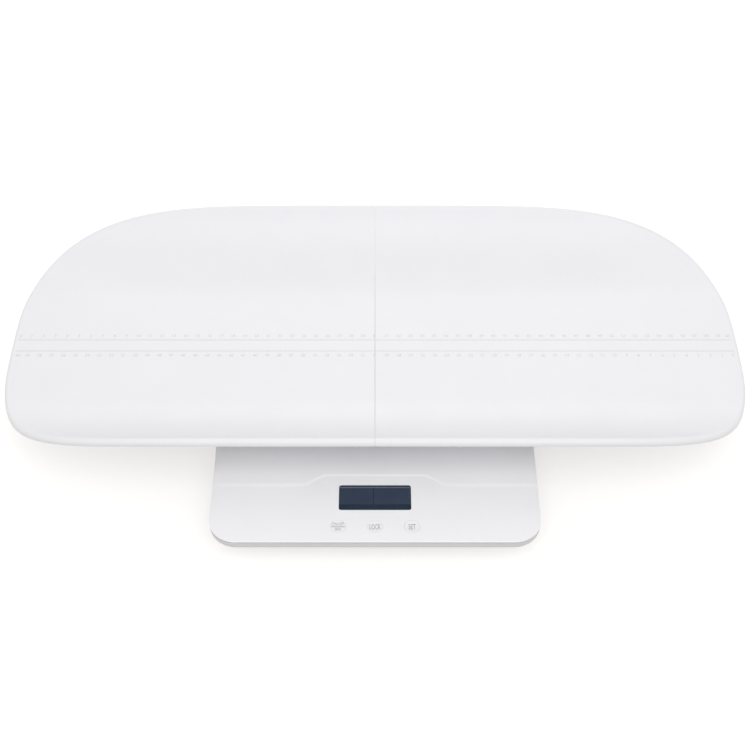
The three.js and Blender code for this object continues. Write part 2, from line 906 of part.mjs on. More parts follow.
function lowerShell() {
  const added = [bayBody()];
  for (const [x, y] of casePlaces()) {
    added.push(rod(x, y, bottom_height, bottom_height + case_boss_height, case_boss_radius));
  }
  const hollow = cut(shellBody(shellLevels(0)), shellHollow(0, shell_top + overrun));
  return piece("base_bottom_shell", cut(joined(hollow, ...added), ...shellCuts()), finish.case);
}

function batteryDoor() {
  const far = base_rear;
  const top = bottom_height + door_thickness;
  const plate = joined(
    block([-door_half, door_front, bottom_height], [door_half, far, top]),
    block(
      [-door_half - door_tongue, door_front, top - door_tongue_height],
      [door_half + door_tongue, far, top],
    ),
  );
  return piece("battery_door", plate.intersect(shellBody(shellLevels(0))), finish.case);
}

// Feet and load cells

function foot(name, x, y) {
  const pad_seat = pad_thickness + seat_gap;
  const cup_top = bottom_height - foot_travel - seat_gap;
  const head = shell_floor + seat_gap;
  const tip = cell_bottom - foot_travel - seat_gap;
  const pad_pocket = foot_radius - foot_rim_wall;
  const outline = [
    [0, pad_seat],
    [pad_pocket, pad_seat],
    [pad_pocket, foot_rim],
    [foot_radius, foot_rim],
    [foot_radius, cup_top - foot_edge],
    [foot_radius - foot_edge, cup_top],
    [foot_stem_radius, cup_top],
    [foot_stem_radius, head],
    [foot_head_radius, head],
    [foot_head_radius, head + foot_head_height],
    [foot_stem_radius, tip],
    [0, tip],
  ];
  return piece("foot_" + name, turned(outline, x, y), finish.holder);
}

function footPad(name, x, y) {
  const radius = foot_radius - foot_rim_wall - seat_gap;
  return piece("foot_pad_" + name, rod(x, y, 0, pad_thickness, radius), finish.rubber);
}

// A steel plate whose middle tongue bends when the foot presses on it.
function loadCell(name, x, y) {
  const half = cell_size / 2;
  const slot_half = cell_tongue_half + cell_slot;
  const tongue_end = -cell_slot_half + cell_slot;
  const plate = [
    [-half, -half],
    [half, -half],
    [half, half],
    [-half, half],
  ];
  const slot = [
    [-slot_half, cell_slot_half],
    [-slot_half, -cell_slot_half],
    [slot_half, -cell_slot_half],
    [slot_half, cell_slot_half],
    [cell_tongue_half, cell_slot_half],
    [cell_tongue_half, tongue_end],
    [-cell_tongue_half, tongue_end],
    [-cell_tongue_half, cell_slot_half],
  ];
  const body = prism(plate, cell_bottom, cell_top, [slot]);
  return piece("load_cell_" + name, body.translate([x, y, 0]), finish.steel);
}

function cellHolder(name, x, y) {
  const low = shell_floor + seat_gap;
  const ledge = low + holder_ledge_height;
  const top = low + holder_height;
  const pocket = cell_size / 2 + seat_gap;
  const body = cut(
    slab(0, holder_half, holder_half, holder_corner, low, top),
    block([-pocket, -pocket, ledge], [pocket, pocket, top + overrun]),
    rod(0, 0, low - overrun, ledge + overrun, holder_well_radius),
  );
  return piece("load_cell_holder_" + name, body.translate([x, y, 0]), finish.holder);
}

function weighingCorners() {
  return footPlaces().flatMap((place) => [
    foot(...place),
    footPad(...place),
    loadCell(...place),
    cellHolder(...place),
  ]);
}

// Display and board

const panel_bottom = board_top + seat_gap + backlight_thickness + seat_gap;
const panel_front = window_y - panel_depth / 2;
const panel_rear = window_y + panel_depth / 2;

function display() {
  const lens = slab(
    window_y,
    window_width / 2 - slide_gap,
    window_depth / 2 - slide_gap,
    window_corner - slide_gap,
    window_bottom,
    console_height - window_sunk,
  );
  const panel = block(
    [-panel_width / 2, panel_front, panel_bottom],
    [panel_width / 2, panel_rear, panel_bottom + panel_thickness],
  );
  const backlight = block(
    [-panel_width / 2, panel_rear - backlight_depth, board_top + seat_gap],
    [panel_width / 2, panel_rear, panel_bottom - seat_gap],
  );
  const strip_half = panel_width / 2 - strip_end_gap;
  const strip = block(
    [-strip_half, panel_front, board_top + seat_gap],
    [strip_half, panel_front + strip_depth, panel_bottom - seat_gap],
  );
  return [
    piece("display_window", lens, finish.lens),
    piece("lcd_panel", panel, finish.panel),
    piece("lcd_backlight", backlight, finish.diffuser),
    piece("lcd_connector_strip", strip, finish.elastomer),
  ];
}

function circuitBoard() {
  const low = [-board_width / 2, board_y - board_depth / 2, board_bottom];
  const high = [board_width / 2, board_y + board_depth / 2, board_top];
  const bores = boardScrewPlaces().map(([x, y]) =>
    rod(x, y, board_bottom - overrun, board_top + overrun, board_screw_radius + slide_gap),
  );
  return piece("main_circuit_board", cut(block(low, high), ...bores), finish.board);
}

function controllerChip() {
  const half = chip_size / 2;
  const y = board_y + board_depth / 2 - chip_setback;
  const top = board_bottom - seat_gap;
  const body = block([-half, y - half, top - chip_height], [half, y + half, top]);
  return piece("controller_chip", body, finish.chip);
}

const switch_bottom = board_top + seat_gap;
const switch_top = switch_bottom + switch_height;
const plunger_top = switch_top + plunger_proud;

function key(name, x) {
  const top = console_height - key_sunk;
  const flange_top = cover_underside - seat_gap;
  const flange_bottom = flange_top - key_flange_height;
  const dish_radius = key_radius - key_dish_rim;
  const outline = [
    [0, plunger_top + seat_gap],
    [key_stem_radius, plunger_top + seat_gap],
    [key_stem_radius, flange_bottom],
    [key_radius + key_flange, flange_bottom],
    [key_radius + key_flange, flange_top],
    [key_radius, flange_top],
    [key_radius, top],
  ];
  for (let step = 0; step <= turn_steps; step++) {
    const share = 1 - step / turn_steps;
    outline.push([dish_radius * share, top - key_dish * (1 - share ** 2)]);
  }
  return piece("key_" + name, turned(outline, x, key_y), finish.key);
}

function keySwitch(name, x) {
  const half = switch_size / 2;
  const body = cut(
    block([x - half, key_y - half, switch_bottom], [x + half, key_y + half, switch_top]),
    rod(x, key_y, switch_top - plunger_seat, switch_top + overrun, plunger_radius + slide_gap),
  );
  return piece("switch_body_" + name, body, finish.switch);
}

function plunger(name, x) {
  const low = switch_top - plunger_seat + key_travel + seat_gap;
  const body = rod(x, key_y, low, plunger_top, plunger_radius);
  return piece("switch_plunger_" + name, body, finish.switch);
}

function keys() {
  const names = ["power", "hold", "unit"];
  return keyPlaces().flatMap((x, i) => [key(names[i], x), keySwitch(names[i], x), plunger(names[i], x)]);
}

// Screws

function screw(name, x, y, seat, tip, sizes) {
  const under = seat - seat_gap;
  const outline = [
    [0, under - sizes.head_height],
    [sizes.head_radius, under - sizes.head_height],
    [sizes.head_radius, under],
    [sizes.radius, under],
    [sizes.radius, tip - sizes.radius],
    [0, tip],
  ];
  return piece(name, turned(outline, x, y), finish.steel);
}

function screws() {
  const case_sizes = {
    radius: case_screw_radius,
    head_radius: case_screw_head_radius,
    head_height: case_screw_head_height,
  };
  const board_sizes = {
    radius: board_screw_radius,
    head_radius: board_screw_head_radius,
    head_height: board_screw_head_height,
  };
  const seat = bottom_height + case_seat_depth;
  return [
    ...casePlaces().map(([x, y], i) => screw("case_screw_" + (i + 1), x, y, seat, case_screw_tip, case_sizes)),
    ...boardScrewPlaces().map(([x, y], i) =>
      screw("board_screw_" + (i + 1), x, y, board_bottom, board_screw_tip, board_sizes),
    ),
  ];
}

// Batteries

// A piece drawn upright, laid along X and pointing to one side.
function laid(body, side, y, z) {
  const geometry = geometryOf(body);
  geometry.rotateY((side * Math.PI) / 2);
  geometry.translate(0, y, z);
  return solid(geometry);
}

function batteryRows() {
  const rows = [];
  for (let i = 0; i < battery_count; i++) {
    rows.push({ y: bay_y + (i - (battery_count - 1) / 2) * battery_pitch, side: i % 2 ? -1 : 1 });
  }
  return rows;
}

function battery(row, i) {
  const tip = contact_x - seat_gap;
  const foot_end = tip - battery_length;
  const body = turned([
    [0, foot_end],
    [battery_radius, foot_end],
    [battery_radius, tip - battery_nub],
    [battery_nub_radius, tip - battery_nub],
    [battery_nub_radius, tip],
    [0, tip],
  ]);
  return piece("battery_" + (i + 1), laid(body, row.side, row.y, battery_z), finish.battery);
}

// A contact plate, with a spring cone at each battery whose flat end faces it.
function contactPlate(name, side) {
  const ends = [side * contact_x, side * (contact_x + contact_thickness)].sort((a, b) => a - b);
  const half_y = bay_half_depth - seat_gap;
  const plate = block(
    [ends[0], bay_y - half_y, battery_z - contact_height / 2],
    [ends[1], bay_y + half_y, battery_z + contact_height / 2],
  );
  const far = contact_x + contact_thickness / 2;
  const near = contact_x - contact_spring_length + seat_gap;
  const springs = batteryRows()
    .filter((row) => row.side !== side)
    .map((row) => {
      const cone = rod(0, 0, near, far, contact_spring_tip, contact_spring_root);
      return laid(cone, side, row.y, battery_z);
    });
  return piece(name, joined(plate, ...springs), finish.steel);
}

// Leads

// A lead along a route, as a tube with flat ends.
function lead(name, route, look) {
  const curve = new THREE.CatmullRomCurve3(route.map(([x, y, z]) => new THREE.Vector3(x, y, z)));
  const steps = Math.ceil(curve.getLength() / lead_step);
  const section = new THREE.Shape();
  for (let i = 0; i < lead_sides; i++) {
    const angle = (i / lead_sides) * 2 * Math.PI;
    const [x, y] = [lead_radius * Math.cos(angle), lead_radius * Math.sin(angle)];
    if (i) section.lineTo(x, y);
    else section.moveTo(x, y);
  }
  const tube = new THREE.ExtrudeGeometry(section, { steps, extrudePath: curve, bevelEnabled: false });
  return piece(name, solid(tube), look);
}

const lead_floor = shell_floor + seat_gap + lead_lift;
const lead_top = board_bottom - seat_gap;
const front_landing = board_width / 2 - board_screw_margin * 2;
const rear_landing = front_landing - board_screw_margin * 2;

const cell_lead_z = cell_top + seat_gap + lead_radius;
const holder_lead_z = shell_floor + seat_gap + holder_height + seat_gap + lead_radius;
const landing_y = board_y + board_depth / 2 - board_screw_margin;

// The upright end of a lead below the board.
function landing(x) {
  return [
    [x, landing_y, lead_top - lead_rise],
    [x, landing_y, lead_top],
  ];
}

// The end of a lead that comes along the floor.
function climb(x) {
  return [
    [x, landing_y + board_screw_margin * 4, lead_floor],
    [x, landing_y + board_screw_margin * 2, lead_floor],
    ...landing(x),
  ];
}

// From the top of a front load cell, over its holder's inner wall, and up to the board.
function frontLead(name, x, y) {
  const side = Math.sign(x);
  const route = [
    [x - (side * cell_size) / 4, y, cell_lead_z],
    [x - (side * cell_size) / 2, y, holder_lead_z],
    [x - side * holder_half, y, holder_lead_z],
    ...landing(side * front_landing),
  ];
  return lead("lead_" + name, route, finish.lead_white);
}

// From the top of a rear load cell, over its holder's front wall, and along the floor to the board.
function rearLead(name, x, y) {
  const side = Math.sign(x);
  const route = [
    [x, y - cell_size / 4, cell_lead_z],
    [x, y - cell_size / 2, holder_lead_z],
    [x, y - holder_half, holder_lead_z],
    [x, y - holder_half - foot_radius / 2, lead_floor],
    [x, y - holder_half - foot_radius, lead_floor],
    [(x + side * rear_landing) / 2, base_y, lead_floor],
    ...climb(side * rear_landing),
  ];
  return lead("lead_" + name, route, finish.lead_white);
}

// From a contact plate out of the bay and along the floor to the board.
function batteryLead(name, side, look) {
  const start_x = contact_x + contact_thickness + seat_gap;
  const z = battery_z + bay_wire_slot / 2;
  const out = rail_half + lead_radius * 2;
  const lane_x = (side * key_spacing) / 2;
  const route = [
    [side * start_x, bay_y, z],
    [side * (bay_half_width + bay_wall + lead_radius * 4), bay_y, z],
    [side * (out + lead_radius), bay_y - battery_pitch, lead_floor + rail_height],
    [side * out, door_front - rail_width * 2, lead_floor],
    [lane_x, base_y, lead_floor],
    ...climb(lane_x),
  ];
  return lead(name, route, look);
}

function leads() {
  return [
    ...footPlaces().map((place) => (place[2] < base_y ? frontLead(...place) : rearLead(...place))),
    batteryLead("battery_lead_red", 1, finish.lead_red),
    batteryLead("battery_lead_black", -1, finish.lead_black),
  ];
}

// The whole scale

const scale = new THREE.Group();
scale.add(
  tray(),
  baseCover(),
  lowerShell(),
  batteryDoor(),
  ...weighingCorners(),
  ...display(),
  circuitBoard(),
  controllerChip(),
  ...keys(),
  ...screws(),
  ...batteryRows().map(battery),
  contactPlate("battery_contact_right", 1),
  contactPlate("battery_contact_left", -1),
  ...leads(),
);

export default scale;
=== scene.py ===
"""Digital baby weighing scale: a two-piece tray that stands on a low weighing base.

Metres, +Z up, +X to the right, -Y towards the person who reads the display.
"""

import math

import bmesh
import bpy
from bpy.props import FloatProperty, FloatVectorProperty, IntProperty, PointerProperty
from bpy.types import Operator, Panel, PropertyGroup
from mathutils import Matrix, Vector
from mathutils.geometry import tessellate_polygon


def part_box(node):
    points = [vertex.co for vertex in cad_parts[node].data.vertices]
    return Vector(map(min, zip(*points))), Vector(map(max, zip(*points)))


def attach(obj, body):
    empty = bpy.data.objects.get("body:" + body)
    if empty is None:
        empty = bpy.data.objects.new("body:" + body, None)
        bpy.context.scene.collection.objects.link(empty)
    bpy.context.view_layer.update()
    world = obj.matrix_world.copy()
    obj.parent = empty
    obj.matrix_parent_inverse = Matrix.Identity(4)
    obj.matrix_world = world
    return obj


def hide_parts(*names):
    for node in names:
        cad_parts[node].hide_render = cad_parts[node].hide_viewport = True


bl_info = {
    "name": "Baby weighing scale",
    "version": (1, 0, 0),
    "blender": (4, 5, 0),
    "location": "3D View > Sidebar > Scale",
    "description": "Dresses the weighing scale's frame with its tray, base, keys and finishes",
    "category": "Object",
}

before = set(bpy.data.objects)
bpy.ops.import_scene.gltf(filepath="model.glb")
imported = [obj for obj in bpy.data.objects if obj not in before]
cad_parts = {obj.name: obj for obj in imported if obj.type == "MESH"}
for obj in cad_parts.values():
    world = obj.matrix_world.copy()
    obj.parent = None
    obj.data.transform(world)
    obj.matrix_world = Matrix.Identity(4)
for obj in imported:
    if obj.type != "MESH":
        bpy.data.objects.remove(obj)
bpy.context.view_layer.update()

MM = 0.001
SIDES = (-1, 1)
QUARTER = math.pi / 2
OVERRUN = 1 * MM  # how far a cut or a join reaches past the face that it meets
SEATED = 0.15 * MM  # how far a ridge is sunk in the face that carries it
MARK_LIFT = SEATED / 10  # how far the ruler's marks stand above its lines
SAME_POINT = 0.0005 * MM  # points closer together than this are one
HALVINGS = 40  # how often a search halves its range
FINER = 8  # how many trial places along the rim go into one row of faces
NOISE_ROUGHNESS = 0.55  # how much the finer clouds of a noise count
NOISE_LOW = 0.3  # nearly all values of a noise lie between this and the next
NOISE_HIGH = 0.7
WHITE = (1.0, 1.0, 1.0, 1.0)


def span(*nodes):
    """The lowest and highest corners of several nodes of the frame."""
    boxes = [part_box(node) for node in nodes]
    low = Vector([min(box[0][i] for box in boxes) for i in range(3)])
    high = Vector([max(box[1][i] for box in boxes) for i in range(3)])
    return low, high


def middle(node):
    low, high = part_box(node)
    return (low + high) / 2


TRAY_LOW, TRAY_HIGH = span("tray_left", "tray_right")
COVER_LOW, COVER_HIGH = span("base_top_cover")
SHELL_LOW, SHELL_HIGH = span("base_bottom_shell")
DOOR_LOW, DOOR_HIGH = span("battery_door")
WINDOW_LOW, WINDOW_HIGH = span("display_window")
TRAY_MIDDLE = (TRAY_LOW + TRAY_HIGH) / 2
BASE_MIDDLE = (COVER_LOW + COVER_HIGH) / 2
KEYS = ("power", "hold", "unit")
CORNERS = ("front_left", "front_right", "rear_left", "rear_right")
CASE_SCREWS = tuple(f"case_screw_{i}" for i in range(1, 7))
BOARD_SCREWS = tuple(f"board_screw_{i}" for i in range(1, 5))


# Settings that a user may change


def length(name, description, millimetres):
    return FloatProperty(name=name, description=description, default=millimetres * MM, min=0, unit="LENGTH")


def count(name, description, default):
    return IntProperty(name=name, description=description, default=default, min=1)


def number(name, description, default):
    return FloatProperty(name=name, description=description, default=default, min=0)


def angle(name, description, degrees):
    return FloatProperty(
        name=name, description=description, default=math.radians(degrees), subtype="ANGLE", unit="ROTATION"
    )


def position(name, description, x, y, z):
    return FloatVectorProperty(name=name, description=description, default=(x, y, z), subtype="XYZ")


def colour(name, description, red, green, blue):
    return FloatVectorProperty(
        name=name, description=description, default=(red, green, blue), min=0, max=1, subtype="COLOR"
    )


class ScaleTraySizes(PropertyGroup):
    floor: length("Floor", "Height of the trough's floor above the table", 52)
    wall: length("Wall", "Thickness of the tray", 2.5)
    flat_half: length("Flat half width", "Half of the flat strip along the middle", 60)
    trough_radius: length("Trough radius", "Radius of the rounded flanks", 91.5)
    end_power: number("End squareness", "How square the outline is towards its ends", 5.35)
    side_power: number("Side squareness", "How square the outline is towards its long sides", 3.35)
    lip_radius: length("Lip radius", "Radius of the rolled lip", 3.2)
    lip_drop: length("Lip drop", "Upright edge under the rolled lip", 2.1)
    lip_edge: length("Lip edge", "Rounding of the lip's lower edge", 0.7)
    seam_half: length("Seam half gap", "Half of the gap between the two halves", 0.06)
    seam_edge: length("Seam edge", "Rounding of the edges at the seam", 0.3)
    rows: count("Rows", "Rows of faces round one half", 260)
    columns: count("Columns", "Columns of faces along one half", 20)
    fan: number("Fan", "How evenly the rows leave the seam, as a share", 0.15)
    leg_x: length("Leg from seam", "Distance of the legs from the seam", 85)
    leg_y: length("Leg from middle", "Distance of the legs from the ruler's middle line", 46)
    leg_radius: length("Leg radius", "Outer radius of a leg", 12)
    leg_bore: length("Leg bore", "Radius of the hollow in a leg", 9.8)
    leg_foot: length("Leg foot", "Height of the legs' lower face above the table", 32.3)
    spigot_radius: length("Spigot radius", "Radius of the pin inside a leg", 6)
    fillet: length("Fillet", "Rounding where a leg meets the tray", 2.4)
    rib_wall: length("Rib wall", "Thickness of the ribs", 2)
    rib_depth: length("Rib depth", "Depth of a rib at the leg", 11)
    rib_tip: length("Rib tip", "Depth of a rib at its outer end", 3)
    rib_start: length("Rib start", "Distance of a rib's inner end from the seam", 24)
    rib_reach: length("Rib reach", "Distance of a rib's outer end from the seam", 262)
    hook_y: length("Hook place", "Distance of the hooks from the ruler's middle line", 22)
    hook_half: length("Hook half width", "Half width of a hook", 5)
    hook_root: length("Hook root", "Distance of the root's outer side from the seam", 16)
    hook_bend: length("Hook bend", "Distance of the root's inner side from the seam", 8)
    hook_tip: length("Hook tip", "Distance of the upturned tip's inner side from the seam", 11)
    hook_reach: length("Hook reach", "How far a hook reaches past the seam", 15)
    hook_low: length("Hook bottom", "Depth of a hook's lower face under the tray", 8)
    hook_arm: length("Hook arm", "Depth of the arm's upper face under the tray", 4.5)
    hook_corner: length("Hook corner", "Corner radius of a hook", 0.8)
    hook_edge: length("Hook edge", "Rounding of a hook's edges", 0.4)
    hook_gap: length("Hook gap", "Gap between a hook's tip and its socket", 0.3)
    socket_wall: length("Socket wall", "Wall of a hook's socket", 2.2)
    socket_depth: length("Socket depth", "How far a hook's socket hangs under the tray", 4.2)
    socket_corner: length("Socket corner", "Corner radius of a hook's socket", 0.6)


class ScaleRulerSizes(PropertyGroup):
    reach: length("Reach", "Distance of the outer marks from the seam", 300)
    line_y: length("Line place", "Distance of the lines from the middle", 6.2)
    line_width: length("Line width", "Width of the lines", 0.22)
    tick_width: length("Tick width", "Width of the marks", 0.24)
    tick_short: length("Short mark", "Length of a millimetre mark", 1.0)
    tick_middle: length("Middle mark", "Length of a half centimetre mark", 1.4)
    tick_long: length("Long mark", "Length of a centimetre mark", 1.9)
    number_y: length("Number place", "Distance of the numbers' middles from the middle line", 11.4)
    number_height: length("Number height", "Height of the numbers", 2.9)
    number_narrow: number("Number narrowing", "Width of the numbers as a share of their own width", 0.95)
    digit_half: number("Half digit", "Half of a digit's width as a share of its height", 0.36)
    relief: length("Relief", "Height of the marks above the floor", 0.06)


class ScaleBaseSizes(PropertyGroup):
    corner: length("Corner", "Corner radius of the base", 21)
    console: length("Display strip", "Height of the display strip above the table", 31.5)
    cover_wall: length("Cover wall", "Thickness of the cover", 2.4)
    cover_edge: length("Cover edge", "Rounding of the cover's top edge", 0.6)
    lip: length("Lip", "Height of the upright lip round the display strip", 0.95)
    lip_edge: length("Lip edge", "Rounding of the lip's lower edge", 0.25)
    reveal: length("Reveal", "Depth of the shadow gap under the lip", 1.0)
    step_side: length("Step at sides", "From the front of the base to the step at the sides", 55)
    step_middle: length("Step in middle", "From the front of the base to the step in the middle", 65.1)
    step_foot: length("Step foot", "Half width of the step's bulge at the side level", 59)
    step_head: length("Step head", "Half width of the step's bulge at the middle level", 37)
    step_width: length("Step width", "Width of the step's slope in the middle", 2.4)
    step_side_width: length("Step width at sides", "Width of the step's slope at the sides", 4.5)
    step_rows: count("Step rows", "Rows of faces on the step's slope", 8)
    step_columns: count("Step columns", "Columns of faces on the step's slope", 120)
    corner_steps: count("Corner steps", "Faces round one corner of the base", 14)
    socket_radius: length("Socket radius", "Radius of the sockets for the tray's legs", 6.3)
    socket_depth: length("Socket depth", "Depth of the sockets for the tray's legs", 6.3)
    hole_edge: length("Hole edge", "Rounding of the edges of the holes", 0.35)
    bottom: length("Bottom", "Underside of the base above the table", 8)
    shell_wall: length("Shell wall", "Thickness of the lower shell", 2.4)
    shell_inset: length("Shell inset", "How far the shell stands inside the cover's edge", 0.3)
    shell_band: length("Shell band", "Upright band below the parting line", 3.5)
    shell_rim: length("Shell rim", "Rounding of the shell's upper edge", 0.25)
    shell_turn: length("Shell turn", "Radius from the upright band to the slope", 3.5)
    shell_slope: angle("Shell slope", "Slope of the lower flank, from upright", 53.4)
    shell_edge: length("Shell edge", "Rounding between the slope and the bottom", 2.2)
    corner_share: number("Corner share", "How much of an inset comes off the corner radius", 0.25)
    seat_gap: length("Seat gap", "Gap between two faces that rest on each other", 0.3)
    collar_wall: length("Collar wall", "Thickness of the rib that centres the cover in the shell", 1.6)
    collar_depth: length("Collar depth", "How far that rib hangs under the cover", 2)
    boss_height: length("Boss height", "Height of the bosses round the screws above the underside", 10)
    post_radius: length("Post radius", "Radius of the posts that take the case screws", 4)
    post_bore: length("Post bore", "Radius of the bores in the posts", 2.2)


class ScaleDisplaySizes(PropertyGroup):
    corner: length("Window corner", "Corner radius of the window", 2)
    window_gap: length("Window gap", "Gap between the window and its pocket", 0.3)
    ledge: length("Ledge", "Width of the ledge that carries the window", 2.1)
    lens_grow: length("Lens growth", "How far the window reaches into the gap round it", 0.22)
    lens_edge: length("Lens edge", "Rounding of the window's top edge", 0.3)
    # Highlight line: a painted highlight across the rear of the window, given by its place and its width.
    rear_line: length("Rear line", "From the window's rear edge to the painted highlight line", 1.9)
    line_width: length("Line width", "Width of the painted highlight line", 0.5)
    # Painted reflection: a dark line across the window that stands for the reflection of the tray's seam.
    divider_x: length("Seam reflection place", "Distance of the painted reflection of the tray's seam left of the middle", 1.2)
    divider_width: length("Divider width", "Width of the painted reflection of the tray's seam", 0.9)
    front_band: length("Front band", "Depth of the dark band at the window's front", 5.4)
    key_radius: length("Key radius", "Radius of a key", 6.1)
    key_gap: length("Key gap", "Gap round a key", 0.1)
    key_dish: length("Key dish", "Depth of a key's finger dish", 0.5)
    key_rim: length("Key rim", "Width of the flat rim round the dish", 0.35)
    key_edge: length("Key edge", "Rounding of a key's edge", 0.15)
    key_flange: length("Key flange", "How far a key's flange reaches past it", 1.4)
    key_flange_height: length("Flange height", "Height of a key's flange", 1.2)
    key_flange_drop: length("Flange drop", "Depth of a key's flange under the window", 1.6)
    key_stem: length("Key stem", "Radius of a key's stem", 2.2)
    letter_height: length("Letter height", "Height of the upper word on the left key", 2.9)
    low_letter_height: length("Lower letters", "Height of the lower word on the left key", 2.3)
    rule_half: length("Rule half length", "Half length of the line on the left key", 5.3)
    rule_half_width: length("Rule half width", "Half width of the line on the left key", 0.3)
    tall_height: length("Tall letters", "Height of the letters on the other keys", 5.2)
    letter_gap: length("Letter gap", "From the line on the left key to its words", 1.1)
    letter_narrow: number("Letter narrowing", "Share of its own width that a left key's letter gets", 0.62)
    tall_narrow: number("Tall narrowing", "Share of its own width that a middle key's letter gets", 0.44)
    unit_narrow: number("Unit narrowing", "Share of its own width that a right key's letter gets", 0.48)
    rule_steps: count("Rule steps", "Faces along the line on the left key", 16)
    print_height: length("Print height", "Height of the print above the keys", 0.05)


class ScaleUnderSizes(PropertyGroup):
    foot_wall: length("Foot wall", "Wall of a foot's rim", 2.2)
    foot_top: length("Foot top", "Top of a foot above the table", 7.2)
    foot_edge: length("Foot edge", "Rounding of a foot's upper edge", 1.5)
    foot_low_edge: length("Foot lower edge", "Rounding of a foot's lower rim", 0.5)
    foot_stem: length("Foot stem", "Radius of a foot's stem", 8)
    foot_head: length("Foot head", "Radius of the head that keeps a foot in the shell", 9.6)
    foot_head_height: length("Foot head height", "Height of that head", 1.4)
    foot_head_slope: length("Foot head slope", "Height of the slope over that head", 0.8)
    pad_edge: length("Pad edge", "Rounding of a pad's edges", 0.35)
    groove_width: length("Groove width", "Width of the grip grooves in a pad", 1.3)
    groove_depth: length("Groove depth", "Depth of the grip grooves in a pad", 0.7)
    grooves: count("Grooves", "Number of grip grooves in a pad", 3)
    door_tongue: length("Door tongue", "How far the door's side tongues reach out", 2)
    door_tongue_height: length("Tongue height", "Height of the door's side tongues", 1.2)
    door_edge: length("Door edge", "Rounding of the door's long edges", 0.5)
    door_front_edge: length("Door front edge", "Length of the bevel at the door's front", 0.5)
    door_front_narrow: number("Front narrowing", "How much narrower the front is, as a share", 0.014815)
    door_front_thin: number("Front thinning", "How far the door's front faces draw in, as a share", 0.1)
    grips: count("Grip ridges", "Number of grip ridges on the door", 6)
    grips_place: length("Grips place", "From the door's rear to its foremost grip ridge", 28)
    grip_pitch: length("Grip pitch", "Distance between the grip ridges", 2.4)
    grip_height: length("Grip height", "Height of the grip ridges", 0.6)
    grip_half: length("Grip half width", "Half of a grip ridge's length", 11)
    arrow_half: length("Arrow half width", "Half width of the arrow on the door", 4)
    arrow_length: length("Arrow length", "Length of the arrow on the door", 4.8)
    screw_cross: length("Screw cross", "Length of the cross recess in a screw", 3.4)
    screw_cross_width: length("Cross width", "Width of the cross recess's arms", 0.75)
    screw_cross_depth: length("Cross depth", "Depth of the cross recess", 1.1)
    screw_radius: length("Screw radius", "Radius of a case screw's shank", 1.5)
    screw_head_height: length("Screw head height", "Height of a case screw's head", 2)
    screw_edge: length("Screw edge", "Rounding of a case screw's head", 0.35)
    screw_face: number("Screw face", "Flat face of a screw's head as a share of its radius", 0.62)
    screw_crown: number("Screw crown", "Radius of the head's crown as a share of its radius", 0.88)
    screw_turns: count("Screw turns", "Turns of a case screw's thread", 10)
    screw_plain: length("Plain shank", "Length of shank without a thread at either end", 1)
    screw_root: number("Thread root", "Radius between the turns as a share of the shank's", 0.8)
    screw_tip: length("Screw tip", "Height of a case screw's tip", 0.6)
    screw_tip_share: number("Tip share", "Radius at the tip as a share of the shank's", 0.6)
    recess_radius: length("Recess radius", "Radius of a screw's recess in the shell", 3.3)
    recess_depth: length("Recess depth", "Depth of a screw's recess in the shell", 4)
    boss_radius: length("Boss radius", "Radius of the bosses round the screws", 4.6)
    stem_hole: length("Stem hole", "Radius of the holes for the feet's stems", 8.3)
    bay_half: length("Bay half width", "Half width of the battery bay", 25.4)
    bay_front: length("Bay front", "Front of the battery bay, from the door's front", 4)
    bay_depth: length("Bay depth", "Depth of the battery bay from front to rear", 33.7)
    bay_roof: length("Bay roof", "Inner roof of the battery bay above the table", 22.2)
    bay_wall: length("Bay wall", "Wall of the battery bay", 1.6)
    rail_width: length("Rail width", "Width of the thick floor beside the door", 5)
    rail_height: length("Rail height", "Height of the thick floor above the underside", 4.4)


class ScaleColours(PropertyGroup):
    tray: colour("Tray", "Moulded plastic of the tray", 0.846, 0.846, 0.873)
    case: colour("Case", "Moulded plastic of the base's cover", 0.945, 0.945, 0.962)
    # Lower shell: its own warm grey, made darker than the cover as painted shade for the band under the
    # cover's edge.
    shell: colour("Lower shell", "Moulded plastic of the lower shell and battery door", 0.715, 0.705, 0.7)
    key: colour("Keys", "Moulded plastic of the keys", 0.935, 0.937, 0.957)
    window: colour("Window", "Dark window over the display", 0.019, 0.036, 0.069)
    # Painted highlight: colour of the light line painted near the window's rear.
    window_line: colour("Painted highlight", "Painted highlight line near the rear of the window", 0.24, 0.235, 0.25)
    window_band: colour("Front band", "Dark band at the window's front", 0.003, 0.017, 0.042)
    ruler: colour("Ruler", "Print of the ruler", 0.62, 0.62, 0.63)
    lettering: colour("Lettering", "Print on the keys", 0.33, 0.34, 0.36)
    rubber: colour("Pads", "Rubber of the foot pads", 0.045, 0.048, 0.05)
    foot: colour("Feet", "Plastic of the feet and load cell holders", 0.68, 0.69, 0.71)
    screw: colour("Screws", "Steel of the screws", 0.62, 0.63, 0.65)


